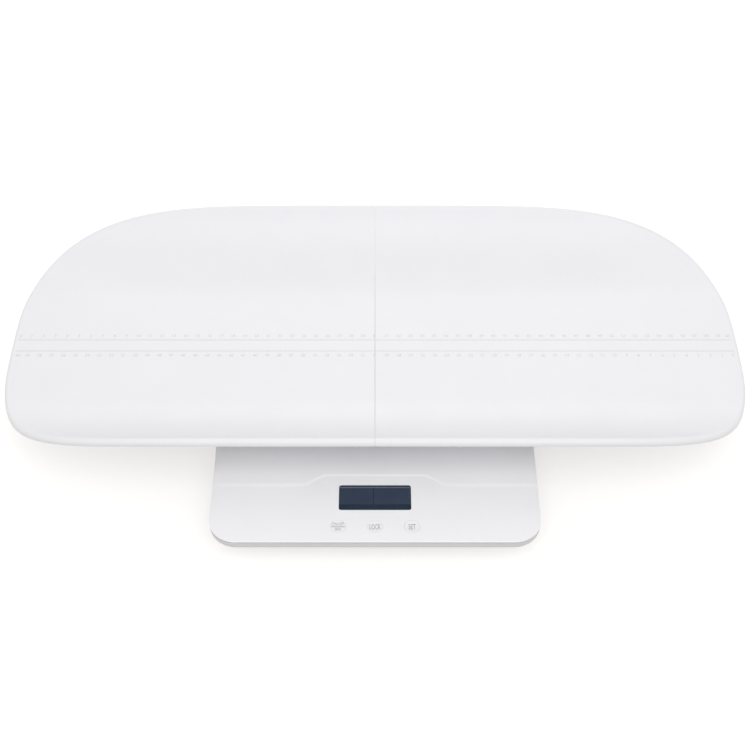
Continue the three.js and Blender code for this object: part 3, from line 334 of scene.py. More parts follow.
class ScaleInnerColours(PropertyGroup):
    diffuser: colour("Diffuser", "Block behind the display panel", 0.8, 0.84, 0.88)
    elastomer: colour("Connector strip", "Strip between the panel and the board", 0.68, 0.26, 0.33)
    resin: colour("Chip resin", "Housing of the controller chip", 0.02, 0.021, 0.023)
    switch: colour("Switches", "Plastic of the key switches", 0.03, 0.031, 0.033)
    plunger: colour("Plungers", "Plastic of the plungers in the key switches", 0.05, 0.05, 0.055)
    cell: colour("Load cells", "Steel of the load cells", 0.58, 0.59, 0.61)
    contact: colour("Contacts", "Steel of the battery contacts", 0.7, 0.7, 0.72)
    lead_white: colour("White lead", "Insulation of the load cells' leads", 0.72, 0.72, 0.72)
    lead_red: colour("Red lead", "Insulation of the red battery lead", 0.45, 0.02, 0.02)
    lead_black: colour("Black lead", "Insulation of the black battery lead", 0.015, 0.015, 0.017)
    glass: colour("Display glass", "Glass of the display panel", 0.03, 0.05, 0.075)
    electrode: colour("Electrodes", "Rows of electrodes in the display panel", 0.045, 0.07, 0.1)
    lacquer: colour("Board lacquer", "Lacquer of the circuit board", 0.012, 0.11, 0.04)
    lacquer_light: colour("Light lacquer", "Lacquer of the circuit board over copper", 0.016, 0.15, 0.055)
    track: colour("Tracks", "Lines between the fields of the circuit board", 0.03, 0.22, 0.09)
    jacket: colour("Cell jacket", "Jacket of the small round cells", 0.025, 0.16, 0.09)
    jacket_band: colour("Jacket band", "Lighter band along that jacket", 0.05, 0.26, 0.16)


class ScaleStage(PropertyGroup):
    camera_place: position("Camera place", "Where the camera stands", 0, -0.8285, 0.931)
    camera_tilt: angle("Camera tilt", "How far the camera is raised from looking down", 43)
    camera_focus: number("Focal length", "Focal length of the lens in millimetres", 70)
    camera_width: number("Sensor", "Width of the sensor in millimetres", 36)
    camera_near: length("Nearest view", "Distance from which the camera sees things", 50)
    floor_half: length("Floor half width", "Half width of the floor", 3500)
    floor_rear: length("Floor rear", "Depth of the floor behind the scale", 2600)
    backdrop_height: length("Backdrop height", "Height of the backdrop", 2600)
    backdrop_bend: length("Backdrop bend", "Radius between the floor and the backdrop", 900)
    bend_steps: count("Bend steps", "Rows of faces in that bend", 16)
    paper: colour("Paper", "Colour of the floor and backdrop", 0.62, 0.605, 0.585)
    paper_lift: number("Paper lift", "How much whiter the camera sees the floor", 0.55)
    lamp_width: length("Lamp width", "Width of both lamps", 1800)
    main_power: number("Main lamp", "Power of the lamp above the reader, in watts", 12.5)
    main_place: position("Main lamp's place", "Where the lamp above the reader hangs", 0.1, -1.2, 1.8)
    main_depth: length("Main lamp's depth", "Depth of the lamp above the reader", 1200)
    rear_power: number("Rear lamp", "Power of the lamp behind the scale, in watts", 8.9)
    rear_place: position("Rear lamp's place", "Where the lamp behind the scale hangs", 0.1, 1.9, 1.3)
    rear_depth: length("Rear lamp's depth", "Depth of the lamp behind the scale", 1000)
    world_level: number("World level", "Brightness of the surrounding light", 0.76)


# Making meshes


class Form:
    """The points and faces of one piece while it is made."""

    def __init__(self):
        self.points = []
        self.faces = []

    def ring(self, places):
        first = len(self.points)
        self.points.extend(Vector(place) for place in places)
        return list(range(first, len(self.points)))

    def band(self, near, far, closed=True):
        total = len(near)
        for i in range(total if closed else total - 1):
            j = (i + 1) % total
            self.faces.append((near[i], near[j], far[j], far[i]))

    def bands(self, rings, closed=True):
        for near, far in zip(rings, rings[1:]):
            self.band(near, far, closed)

    def lid(self, outline, *holes):
        rings = (outline, *holes)
        numbers = [i for ring in rings for i in ring]
        loops = [[self.points[i] for i in ring] for ring in rings]
        for corners in tessellate_polygon(loops):
            self.faces.append(tuple(numbers[i] for i in corners))

    def loft(self, levels):
        """A closed solid through rings of as many points."""
        rings = [self.ring(level) for level in levels]
        self.bands(rings)
        self.lid(rings[0])
        self.lid(rings[-1])

    def turned(self, outline, x, y, steps=64):
        """A round solid: outline holds (radius, height) pairs, from the axis back to the axis."""
        rings = []
        for radius, z in outline:
            if radius:
                rings.append(self.ring(circle(x, y, radius, z, steps)))
            else:
                rings.append(self.ring([(x, y, z)]) * steps)
        self.bands(rings)

    def mirrored(self):
        self.points = [Vector((-point.x, point.y, point.z)) for point in self.points]

    def mesh(self, name):
        work = bmesh.new()
        points = [work.verts.new(point) for point in self.points]
        for corners in self.faces:
            own = list(dict.fromkeys(corners))
            if len(own) > 2 and not work.faces.get([points[i] for i in own]):
                work.faces.new([points[i] for i in own])
        bmesh.ops.remove_doubles(work, verts=work.verts, dist=SAME_POINT)
        bmesh.ops.recalc_face_normals(work, faces=work.faces)
        mesh = bpy.data.meshes.new(name)
        work.to_mesh(mesh)
        work.free()
        return mesh


def circle(x, y, radius, z, steps=48):
    turns = [2 * math.pi * i / steps for i in range(steps)]
    return [(x + radius * math.cos(turn), y + radius * math.sin(turn), z) for turn in turns]


def rounded(half_x, half_y, corner, steps, rows=()):
    """A rounded rectangle against the clock: its points, and the way out at each of them.

    rows are further places along both long sides.
    """
    found = []
    for turn, (side_x, side_y) in enumerate(((1, 1), (-1, 1), (-1, -1), (1, -1))):
        centre = Vector((side_x * (half_x - corner), side_y * (half_y - corner)))
        for i in range(steps + 1):
            way = (turn + i / steps) * QUARTER
            out = Vector((math.cos(way), math.sin(way)))
            found.append((centre + corner * out, out))
        if turn == 1:
            found.extend((Vector((-half_x, row)), Vector((-1, 0))) for row in reversed(rows))
        if turn == 3:
            found.extend((Vector((half_x, row)), Vector((1, 0))) for row in rows)
    return found


def edge_arc(radius, steps=3):
    """Insets and drops along a rounded edge, from its side up to its top."""
    for i in range(steps + 1):
        turn = QUARTER * i / steps
        yield radius * (1 - math.cos(turn)), radius * (1 - math.sin(turn))


def edge_arc_down(radius, steps=3):
    """Insets and drops along a rounded edge, from its top down to its side."""
    return reversed(list(edge_arc(radius, steps)))


def half_round(steps=3):
    """Directions round the lower half of a rod, from one side to the other."""
    return [QUARTER * i / steps for i in range(-steps, steps + 1)]


def plate(form, centre, half_x, half_y, corner, low, high, edge, steps):
    """A rounded plate with rounded edges above and below."""
    levels = []
    arcs = [(inset, low + drop) for inset, drop in edge_arc_down(edge)]
    arcs += [(inset, high - drop) for inset, drop in edge_arc(edge)]
    for inset, z in arcs:
        outline = rounded(half_x - inset, half_y - inset, max(corner - inset, corner / 4), steps)
        levels.append([(centre[0] + at.x, centre[1] + at.y, z) for at, _ in outline])
    form.loft(levels)


def face_upwards(mesh):
    work = bmesh.new()
    work.from_mesh(mesh)
    bmesh.ops.reverse_faces(work, faces=[face for face in work.faces if face.normal.z < 0])
    work.to_mesh(mesh)
    work.free()


def piece(name, mesh, body, slot, finish, *nodes, sharp=32, relief=0.0):
    """A piece of the scale that rides on a body and may stand for nodes of the frame.

    sharp is the angle in degrees from which an edge looks sharp.
    relief is the thickness that flat print gets, downwards from its face.
    """
    if relief:
        face_upwards(mesh)
        mesh.shade_flat()
    else:
        mesh.shade_smooth()
        mesh.set_sharp_from_angle(angle=math.radians(sharp))
    made = bpy.data.objects.new(name, mesh)
    bpy.context.scene.collection.objects.link(made)
    mesh.materials.append(finish)
    if relief:
        skin = made.modifiers.new("Relief", "SOLIDIFY")
        skin.thickness = relief
        skin.offset = -1
    else:
        weighted = made.modifiers.new("Even shading", "WEIGHTED_NORMAL")
        weighted.keep_sharp = True
    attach(made, body)
    if nodes:
        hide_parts(*nodes)
    return made


def carved(mesh, added, cut):
    """The mesh with some solids joined to it and others cut from it."""
    work = bpy.data.objects.new("work", mesh)
    bpy.context.scene.collection.objects.link(work)
    helpers = []
    for operation, meshes in (("UNION", added), ("DIFFERENCE", cut)):
        for tool_mesh in meshes:
            helper = bpy.data.objects.new("helper", tool_mesh)
            bpy.context.scene.collection.objects.link(helper)
            helpers.append(helper)
            step = work.modifiers.new(operation, "BOOLEAN")
            step.operation = operation
            step.solver = "EXACT"
            step.object = helper
    bpy.context.view_layer.update()
    done = bpy.data.meshes.new_from_object(work.evaluated_get(bpy.context.evaluated_depsgraph_get()))
    for spare in (work, *helpers):
        bpy.data.objects.remove(spare)
    return done


def solid_mesh(fill, *values):
    """The mesh of one solid, drawn in a form by the function fill."""
    form = Form()
    fill(form, *values)
    return form.mesh("solid")


def rod(form, x, y, radius, low, high):
    form.loft([circle(x, y, radius, low), circle(x, y, radius, high)])


def block(form, low, high):
    corners = ((low[0], low[1]), (high[0], low[1]), (high[0], high[1]), (low[0], high[1]))
    form.loft([[(x, y, low[2]) for x, y in corners], [(x, y, high[2]) for x, y in corners]])


def letters(words, height, narrow=1.0):
    """Flat letters round the origin: their points and their faces."""
    text = bpy.data.curves.new("letters", "FONT")
    text.body = words
    text.align_x = "CENTER"
    text.resolution_u = 2
    holder = bpy.data.objects.new("letters", text)
    bpy.context.scene.collection.objects.link(holder)
    bpy.context.view_layer.update()
    flat = holder.to_mesh()
    points = [point.co.copy() for point in flat.vertices]
    faces = [tuple(face.vertices) for face in flat.polygons]
    holder.to_mesh_clear()
    bpy.data.objects.remove(holder)
    low = min(point.y for point in points)
    high = max(point.y for point in points)
    scale = height / (high - low)
    placed = [Vector((point.x * scale * narrow, (point.y - (low + high) / 2) * scale, 0)) for point in points]
    return placed, faces


def print_letters(form, shape, x, y, surface):
    """Adds flat letters that lie on a surface, given as a function of x and y."""
    points, faces = shape
    first = len(form.points)
    for point in points:
        at = (point.x + x, point.y + y)
        form.points.append(Vector((*at, surface(*at))))
    form.faces.extend(tuple(first + i for i in face) for face in faces)


# Tray


def flank(sizes, y):
    """Slope of the trough at a distance from its middle line."""
    past = max(abs(y) - sizes.flat_half, 0)
    return math.copysign(math.asin(min(past / sizes.trough_radius, 1)), y)


def trough_point(sizes, x, y, skin):
    """A point at a depth of skin under the trough's upper face."""
    slope = flank(sizes, y)
    z = sizes.floor + sizes.trough_radius * (1 - math.cos(slope))
    return Vector((x, y + skin * math.sin(slope), z - skin * math.cos(slope)))


def rim_half_sizes(sizes):
    """Half length and half width of the tray inside its rolled lip."""
    half_length = (TRAY_HIGH.x - TRAY_LOW.x) / 2 - sizes.lip_radius
    share = sizes.lip_radius / sizes.trough_radius
    half_width = (TRAY_HIGH.y - TRAY_LOW.y) / 2 - sizes.lip_radius + share * sizes.flat_half
    return half_length, half_width / (1 + share)


def rim_place(sizes, way):
    """A point of the rim in a direction from the middle of the tray, as shares of its half sizes."""
    near, far = 0, 2
    for _ in range(HALVINGS):
        reach = (near + far) / 2
        along = abs(reach * math.cos(way)) ** sizes.end_power
        across = abs(reach * math.sin(way)) ** sizes.side_power
        if along + across > 1:
            far = reach
        else:
            near = reach
    return near * abs(math.cos(way)), near * math.sin(way)


def rim_places(sizes):
    """Evenly spaced places along the rim of one half, from front to rear."""
    half_length, half_width = rim_half_sizes(sizes)
    near = sizes.seam_half + sizes.seam_edge
    last = math.atan2(1, near / half_length)
    fine = FINER * sizes.rows
    places = [rim_place(sizes, last * (2 * i / fine - 1)) for i in range(fine + 1)]
    walked = [0]
    for (x, y), (next_x, next_y) in zip(places, places[1:]):
        walked.append(walked[-1] + math.hypot((next_x - x) * half_length, (next_y - y) * half_width))
    chosen = []
    i = 0
    for row in range(sizes.rows + 1):
        wanted = walked[-1] * row / sizes.rows
        while walked[i + 1] < wanted and i + 2 < len(walked):
            i += 1
        share = (wanted - walked[i]) / (walked[i + 1] - walked[i])
        (x, y), (next_x, next_y) = places[i], places[i + 1]
        chosen.append((x + (next_x - x) * share, y + (next_y - y) * share))
    return chosen


def rim_frame(sizes, share_x, share_y):
    """A point on the rim, the way out from it, and how steeply the trough climbs that way."""
    half_length, half_width = rim_half_sizes(sizes)
    side = math.copysign(1, share_y)
    out = Vector((
        sizes.end_power / half_length * share_x ** (sizes.end_power - 1),
        side * sizes.side_power / half_width * abs(share_y) ** (sizes.side_power - 1),
    )).normalized()
    at = trough_point(sizes, half_length * share_x, half_width * share_y, 0)
    climb = math.atan(abs(math.tan(flank(sizes, at.y)) * out.y))
    return at, out, climb


def lip_profile(sizes, at, out, climb, skin, steps=9):
    """The rolled lip from the rim's top to its underside, thinned by a skin on both faces."""
    outer = sizes.lip_radius - skin
    inner = sizes.lip_radius - sizes.wall + skin
    reach = sizes.lip_radius * math.sin(climb)
    fall = sizes.lip_radius * math.cos(climb)
    bottom = -fall - sizes.lip_drop + skin
    edge = min(sizes.lip_edge, (outer - inner) / 3)
    profile = []
    for i in range(steps + 1):
        turn = climb - (climb + QUARTER) * i / steps
        profile.append((reach - outer * math.sin(turn), outer * math.cos(turn) - fall))
    for inset, drop in edge_arc(edge):
        profile.append((reach + outer - inset, bottom + drop))
    for inset, drop in edge_arc_down(edge):
        profile.append((reach + inner + inset, bottom + drop))
    for i in reversed(range(steps + 1)):
        turn = climb - (climb + QUARTER) * i / steps
        profile.append((reach - inner * math.sin(turn), inner * math.cos(turn) - fall))
    top = TRAY_HIGH.z
    return [Vector((at.x + out.x * way, at.y + out.y * way, min(at.z + up, top))) for way, up in profile]


def seam_steps(sizes, steps=4):
    """Places along X and skins across the rounded edge at the seam, outwards from the gap."""
    return [(sizes.seam_half + inset, drop) for inset, drop in edge_arc(sizes.seam_edge, steps)]


def tray_row(sizes, at, out, climb, seam_y, last_step):
    """One closed row of a half: from the seam along the top, round the lip and back below.

    It comes with the place of the lip's first point in it and the number of the lip's points.
    """
    steps = seam_steps(sizes)
    held = min(last_step, len(steps) - 1)
    seam = [steps[min(i, held)] for i in range(len(steps))]
    edge_x, skin = seam[-1]
    lip = lip_profile(sizes, at, out, climb, skin)
    rim = at.copy()
    if held < len(steps) - 1:
        lip = [Vector((edge_x, point.y, point.z)) for point in lip]
        rim.x = edge_x
    places = []
    for i in range(1, sizes.columns):
        share = i / sizes.columns
        places.append((edge_x + (rim.x - edge_x) * share, seam_y + (rim.y - seam_y) * share))
    row = [trough_point(sizes, x, seam_y, drop) for x, drop in seam]
    row += [trough_point(sizes, x, y, skin) for x, y in places]
    row += lip
    row += [trough_point(sizes, x, y, sizes.wall - skin) for x, y in reversed(places)]
    row += [trough_point(sizes, x, seam_y, sizes.wall - drop) for x, drop in reversed(seam)]
    return [point + Vector((0, TRAY_MIDDLE.y, 0)) for point in row], len(seam) + sizes.columns - 1, len(lip)


def tray_shell(form, sizes):
    """One half, in rows that fan out from the seam to evenly spaced places on the rim."""
    frames = [rim_frame(sizes, *place) for place in rim_places(sizes)]
    front, rear = frames[0][0].y, frames[-1][0].y
    spots = []
    for i, (at, out, climb) in enumerate(frames):
        even = front + (rear - front) * i / sizes.rows
        spots.append((at, out, climb, at.y + (even - at.y) * sizes.fan))
    full = len(seam_steps(sizes)) - 1
    plan = [(spots[0], step) for step in range(full)]
    plan += [(spot, full) for spot in spots]
    plan += [(spots[-1], step) for step in reversed(range(full))]
    rings = []
    for spot, step in plan:
        row, lip_start, lip_count = tray_row(sizes, *spot, step)
        rings.append(form.ring(row))
    form.bands(rings)
    for ring in (rings[0], rings[-1]):
        form.lid(ring[lip_start:lip_start + lip_count])


def tray_leg(form, sizes, side):
    """A hollow round leg with the pin that locates it in the platform."""
    x, y = sizes.leg_x, TRAY_MIDDLE.y + side * sizes.leg_y
    foot = sizes.leg_foot
    pin = sizes.spigot_radius
    bore = sizes.leg_bore
    outer = sizes.leg_radius
    under = sizes.floor - sizes.wall
    top = under + sizes.wall / 2
    edge = sizes.lip_edge
    outline = [(0, TRAY_LOW.z), (pin - 2 * edge, TRAY_LOW.z), (pin, TRAY_LOW.z + 2 * edge)]
    outline += [(pin, under - edge), (pin + edge, under), (bore - edge, under), (bore, under - edge)]
    outline += [(bore, foot + edge / 2), (bore + edge / 2, foot), (outer - edge, foot)]
    outline += [(outer - inset, foot + drop) for inset, drop in edge_arc_down(edge, steps=4)]
    outline += [(outer + inset, under - drop) for inset, drop in edge_arc(sizes.fillet, steps=6)]
    outline += [(outer + sizes.fillet, top), (0, top)]
    form.turned(outline, x, y)


def tray_rib(form, sizes, side):
    """A rib along one half, deep at the leg, shallow at its outer end, with a rounded lower edge."""
    under = sizes.floor - sizes.wall
    half = sizes.rib_wall / 2
    y = TRAY_MIDDLE.y + side * sizes.leg_y
    stations = (
        (sizes.rib_start, sizes.rib_depth),
        (sizes.leg_x + sizes.leg_radius, sizes.rib_depth),
        (sizes.rib_reach, sizes.rib_tip),
    )
    levels = []
    for x, depth in stations:
        low = under - depth
        section = [(x, y + half * math.sin(turn), low + half * (1 - math.cos(turn))) for turn in half_round()]
        section += [(x, y + half, under + half), (x, y - half, under + half)]
        levels.append(section)
    form.loft(levels)


def tray_cross_rib(form, sizes):
    under = sizes.floor - sizes.wall
    reach = sizes.leg_y - sizes.leg_radius + sizes.wall / 2
    half = sizes.rib_wall / 2
    low = (sizes.leg_x - half, TRAY_MIDDLE.y - reach, under - sizes.rib_depth)
    block(form, low, (sizes.leg_x + half, TRAY_MIDDLE.y + reach, under + half))


def tray_hooks(form, sizes):
    """Hooks of the left half, which reach under the right half and turn up into its sockets."""
    under = sizes.floor - sizes.wall
    arm = under - sizes.hook_arm
    half_y = sizes.hook_half
    parts = (
        (-sizes.hook_root, sizes.hook_reach, under - sizes.hook_low, arm),
        (-sizes.hook_root, -sizes.hook_bend, arm - OVERRUN, under + OVERRUN),
        (sizes.hook_tip, sizes.hook_reach, arm - OVERRUN, under - 2 * sizes.seam_half),
    )
    for side in SIDES:
        y = TRAY_MIDDLE.y + side * sizes.hook_y
        for near, far, low, high in parts:
            centre = ((near + far) / 2, y)
            half_x = (far - near) / 2
            plate(form, centre, half_x, half_y, sizes.hook_corner, low, high, sizes.hook_edge, steps=3)


def tray_sockets(form, sizes):
    """Sockets of the right half, open downwards, round the tips of the hooks."""
    under = sizes.floor - sizes.wall
    low = under - sizes.socket_depth
    top = under + OVERRUN
    wall = sizes.socket_wall
    edge = sizes.hook_edge
    mouth = sizes.hook_gap
    half_x = (sizes.hook_reach - sizes.hook_tip) / 2 + sizes.hook_gap
    half_y = sizes.hook_half + sizes.hook_gap
    walls = ((wall, top), (wall, low + edge), (wall - edge, low), (mouth, low), (0, low + mouth), (0, top))
    for side in SIDES:
        centre = Vector(((sizes.hook_tip + sizes.hook_reach) / 2, TRAY_MIDDLE.y + side * sizes.hook_y))
        rings = []
        for grow, z in walls:
            outline = rounded(half_x + grow, half_y + grow, sizes.socket_corner, steps=4)
            rings.append(form.ring([(*(centre + at), z) for at, _ in outline]))
        form.bands(rings)
        form.band(rings[-1], rings[0])


def make_tray(context):
    sizes = context.scene.scale_tray
    finish = tray_finish(context.scene.scale_colours)
    for name, side in (("tray_left", -1), ("tray_right", 1)):
        form = Form()
        tray_shell(form, sizes)
        for place in SIDES:
            tray_leg(form, sizes, place)
            tray_rib(form, sizes, place)
        tray_cross_rib(form, sizes)
        if side < 0:
            form.mirrored()
            tray_hooks(form, sizes)
        else:
            tray_sockets(form, sizes)
        made = name.replace("tray", "tray_shell")
        piece(made, form.mesh(made), name, "tray_plastic", finish, name)


# Ruler


def flat_bar(form, low, high, z):
    corners = ((low[0], low[1], z), (high[0], low[1], z), (high[0], high[1], z), (low[0], high[1], z))
    form.faces.append(tuple(form.ring(corners)))


def ruler_marks(form, sizes, side, z, near):
    """Lines with their millimetre marks, from the seam to the end of one half."""
    for row in SIDES:
        y = TRAY_MIDDLE.y + row * sizes.line_y
        half = sizes.line_width / 2
        ends = sorted((side * near, side * sizes.reach))
        flat_bar(form, (ends[0], y - half), (ends[1], y + half), z)
        for mark in range(1, round(sizes.reach / MM) + 1):
            size = sizes.tick_short
            if mark % 5 == 0:
                size = sizes.tick_middle
            if mark % 10 == 0:
                size = sizes.tick_long
            x = side * mark * MM
            edge = sizes.tick_width / 2
            start, stop = sorted((y, y + row * size))
            flat_bar(form, (x - edge, start), (x + edge, stop), z + MARK_LIFT)


def ruler_numbers(form, sizes, side, z):
    """Centimetre numbers, rising to the right behind the lines and to the left in front of them."""
    centimetre = 10 * MM
    total = round(2 * sizes.reach / centimetre)
    half_digit = sizes.digit_half * sizes.number_height
    for place in range(total + 1):
        x = place * centimetre - sizes.reach
        if x * side < 0:
            continue
        for row, value in ((1, place), (-1, total - place)):
            text = str(value)
            if place in (0, total):
                x = side * (sizes.reach - len(text) * half_digit)
            if 2 * place == total:
                text = text[0] if side < 0 else text[-1]
                x = side * half_digit
            shape = letters(text, sizes.number_height, sizes.number_narrow)
            print_letters(form, shape, x, TRAY_MIDDLE.y + row * sizes.number_y, lambda _x, _y: z)


def make_ruler(context):
    sizes = context.scene.scale_ruler
    tray = context.scene.scale_tray
    finish = print_finish("Ruler print", context.scene.scale_colours.ruler, roughness=0.5)
    z = tray.floor + sizes.relief
    for body, side in (("tray_left", -1), ("tray_right", 1)):
        form = Form()
        ruler_marks(form, sizes, side, z, tray.seam_half + tray.seam_edge)
        ruler_numbers(form, sizes, side, z)
        name = body.replace("tray", "ruler")
        piece(name, form.mesh(name), body, "tray_plastic", finish, relief=2 * sizes.relief)


# Base cover


def smooth(share):
    """A share between 0 and 1, eased at both ends."""
    share = min(max(share, 0), 1)
    return share * share * (3 - 2 * share)


def step_line(sizes, x):
    """Where the step between the display strip and the platform runs, and how wide its slope is."""
    share = smooth((sizes.step_foot - abs(x)) / (sizes.step_foot - sizes.step_head))
    from_front = sizes.step_side + (sizes.step_middle - sizes.step_side) * share
    width = sizes.step_side_width + (sizes.step_width - sizes.step_side_width) * share
    return COVER_LOW.y + from_front, width


def corner_points(sizes):
    """How many points of the base's outline lie on two of its corners."""
    return 2 * (sizes.corner_steps + 1)


def cover_outline(sizes):
    """The cover's outline inside its rounded edge, and the height of its face at each point."""
    half = (COVER_HIGH - COVER_LOW) / 2
    rows = sizes.step_rows
    side = COVER_LOW.y + sizes.step_side - BASE_MIDDLE.y
    places = [side + sizes.step_side_width * (i / rows - 0.5) for i in range(rows + 1)]
    edge = sizes.cover_edge
    outline = rounded(half.x - edge, half.y - edge, sizes.corner - edge, sizes.corner_steps, places)
    rising = [i / rows for i in range(rows + 1)]
    falling = [1 - share for share in rising]
    corners = corner_points(sizes)
    shares = [1] * corners + falling + [0] * corners + rising
    rise = COVER_HIGH.z - sizes.console
    return outline, [sizes.console + rise * smooth(share) for share in shares]


def cover_ring(form, outline, grow, levels):
    """A ring of the outline, grown outwards, with a height for each point."""
    places = []
    for (at, out), z in zip(outline, levels):
        places.append((at.x + out.x * grow, at.y + out.y * grow + BASE_MIDDLE.y, z))
    return form.ring(places)


def hole(form, ring_at, top, low, edge):
    """The wall of a hole with a rounded upper edge: its upper and its lower ring."""
    rings = [ring_at(inset, top - drop) for inset, drop in hole_edge(edge)]
    rings.append(ring_at(0, low))
    form.bands(rings)
    return rings[0], rings[-1]


def hole_edge(edge, steps=4):
    """How far a rounded hole opens towards its upper edge, from the top down."""
    for i in range(steps + 1):
        turn = QUARTER * i / steps
        yield edge * (1 - math.sin(turn)), edge * (1 - math.cos(turn))


def round_hole(form, x, y, radius, top, low, edge):
    return hole(form, lambda grow, z: form.ring(circle(x, y, radius + grow, z)), top, low, edge)


def leg_places(tray):
    return [(sx * tray.leg_x, TRAY_MIDDLE.y + sy * tray.leg_y) for sx in SIDES for sy in SIDES]


def window_ring(form, display, grow, z):
    """A ring round the window's pocket, grown outwards."""
    centre = (WINDOW_LOW + WINDOW_HIGH) / 2
    half = (WINDOW_HIGH - WINDOW_LOW) / 2 + Vector((1, 1, 0)) * display.window_gap
    corner = max(display.corner + grow, display.corner / 2)
    outline = rounded(half.x + grow, half.y + grow, corner, steps=8)
    return form.ring([(centre.x + at.x, centre.y + at.y, z) for at, _ in outline])


def cover_skirt(form, sizes, underside):
    """The cover's rounded edge, its lip and the shadow gap below: the uppermost and the lowest ring."""
    outline, levels = cover_outline(sizes)
    rings = []
    for inset, drop in edge_arc_down(sizes.cover_edge, steps=8):
        rings.append(cover_ring(form, outline, sizes.cover_edge - inset, [z - drop for z in levels]))
    lip_low = sizes.console - sizes.lip
    lower = [(inset, lip_low + drop) for inset, drop in edge_arc(sizes.lip_edge)]
    for inset, z in (*lower, (sizes.reveal, lip_low), (sizes.reveal, underside)):
        rings.append(cover_ring(form, outline, sizes.cover_edge - inset, [z] * len(outline)))
    form.bands(rings)
    return rings[0], rings[-1]


def cover_step(form, sizes, left, right):
    """The slope between the display strip and the platform: its paths, from the front to the rear."""
    half_x = (COVER_HIGH.x - COVER_LOW.x) / 2 - sizes.cover_edge
    rows, columns = sizes.step_rows, sizes.step_columns
    across = [-half_x + 2 * half_x * i / columns for i in range(1, columns)]
    paths = []
    for row in range(rows + 1):
        z = sizes.console + (COVER_HIGH.z - sizes.console) * smooth(row / rows)
        inner = []
        for x in across:
            y, width = step_line(sizes, x)
            inner.append((x, y + width * (row / rows - 0.5), z))
        paths.append([left[row], *form.ring(inner), right[row]])
    form.bands(paths, closed=False)
    return paths


def console_holes(form, sizes, display, underside):
    """The holes for the keys and the window: their upper and their lower rings."""
    upper_rings = []
    lower_rings = []
    for key in KEYS:
        at = middle("key_" + key)
        radius = display.key_radius + display.key_gap
        upper, lower = round_hole(form, at.x, at.y, radius, sizes.console, underside, sizes.hole_edge / 3)
        upper_rings.append(upper)
        lower_rings.append(lower)
    floor = WINDOW_LOW.z - sizes.seat_gap
    upper, pocket = hole(
        form, lambda grow, z: window_ring(form, display, grow, z), sizes.console, floor, sizes.hole_edge / 2
    )
    ledge = window_ring(form, display, -display.ledge, floor)
    through = window_ring(form, display, -display.ledge, underside)
    form.bands([pocket, ledge, through])
    return [*upper_rings, upper], [*lower_rings, through]


def platform_sockets(form, sizes, tray, underside):
    """The sockets for the tray's legs: their upper rings, and the rings of their walls on the underside."""
    upper_rings = []
    lower_rings = []
    floor = COVER_HIGH.z - sizes.socket_depth
    for x, y in leg_places(tray):
        upper, lower = round_hole(form, x, y, sizes.socket_radius, COVER_HIGH.z, floor, sizes.hole_edge)
        form.lid(lower)
        upper_rings.append(upper)
        outer = sizes.socket_radius + sizes.cover_wall
        walls = [form.ring(circle(x, y, outer, z)) for z in (underside, floor - sizes.cover_wall)]
        form.bands(walls)
        form.lid(walls[-1])
        lower_rings.append(walls[0])
    return upper_rings, lower_rings


def cover_faces(form, sizes, display, tray):
    """The cover's top with its step, edge, holes and underside, all in one closed form."""
    underside = sizes.console - sizes.cover_wall
    top, bottom = cover_skirt(form, sizes, underside)
    corners = corner_points(sizes)
    points = sizes.step_rows + 1
    left = top[corners:corners + points]
    right = top[-points:]
    paths = cover_step(form, sizes, left[::-1], right)
    console_top, console_low = console_holes(form, sizes, display, underside)
    socket_top, socket_low = platform_sockets(form, sizes, tray, underside)
    front = [paths[0][0], *top[corners + points:-points], *reversed(paths[0][1:])]
    form.lid([*top[:corners], *paths[-1]], *socket_top)
    form.lid(front, *console_top)
    form.lid(bottom, *console_low, *socket_low)


def cover_posts(form, sizes):
    """Posts that take the case screws."""
    underside = sizes.console - sizes.cover_wall
    foot = sizes.bottom + sizes.boss_height + sizes.seat_gap
    bore, outer = sizes.post_bore, sizes.post_radius
    for name in CASE_SCREWS:
        at = middle(name)
        rings = ((bore, underside), (bore, foot), (outer, foot), (outer, underside + OVERRUN))
        walls = [form.ring(circle(at.x, at.y, radius, z, steps=32)) for radius, z in rings]
        form.bands(walls)
        form.band(walls[-1], walls[0])


def cover_collar(form, sizes):
    """The rib that centres the cover in the shell."""
    underside = sizes.console - sizes.cover_wall
    low, high = underside - sizes.collar_depth, underside + OVERRUN
    outer = sizes.shell_inset + sizes.shell_wall + sizes.seat_gap
    inner = outer + sizes.collar_wall
    rings = []
    for inset, z in ((outer, high), (outer, low), (inner, low), (inner, high)):
        rings.append(form.ring(shell_ring(sizes, inset, z, steps=10)))
    form.bands(rings)
    form.band(rings[-1], rings[0])


def make_cover(context):
    scene = context.scene
    form = Form()
    cover_faces(form, scene.scale_base, scene.scale_display, scene.scale_tray)
    cover_posts(form, scene.scale_base)
    cover_collar(form, scene.scale_base)
    finish = case_finish(scene.scale_colours)
    piece("top_cover", form.mesh("top_cover"), "base", "case_plastic", finish, "base_top_cover", sharp=28)


# Lower shell and battery door


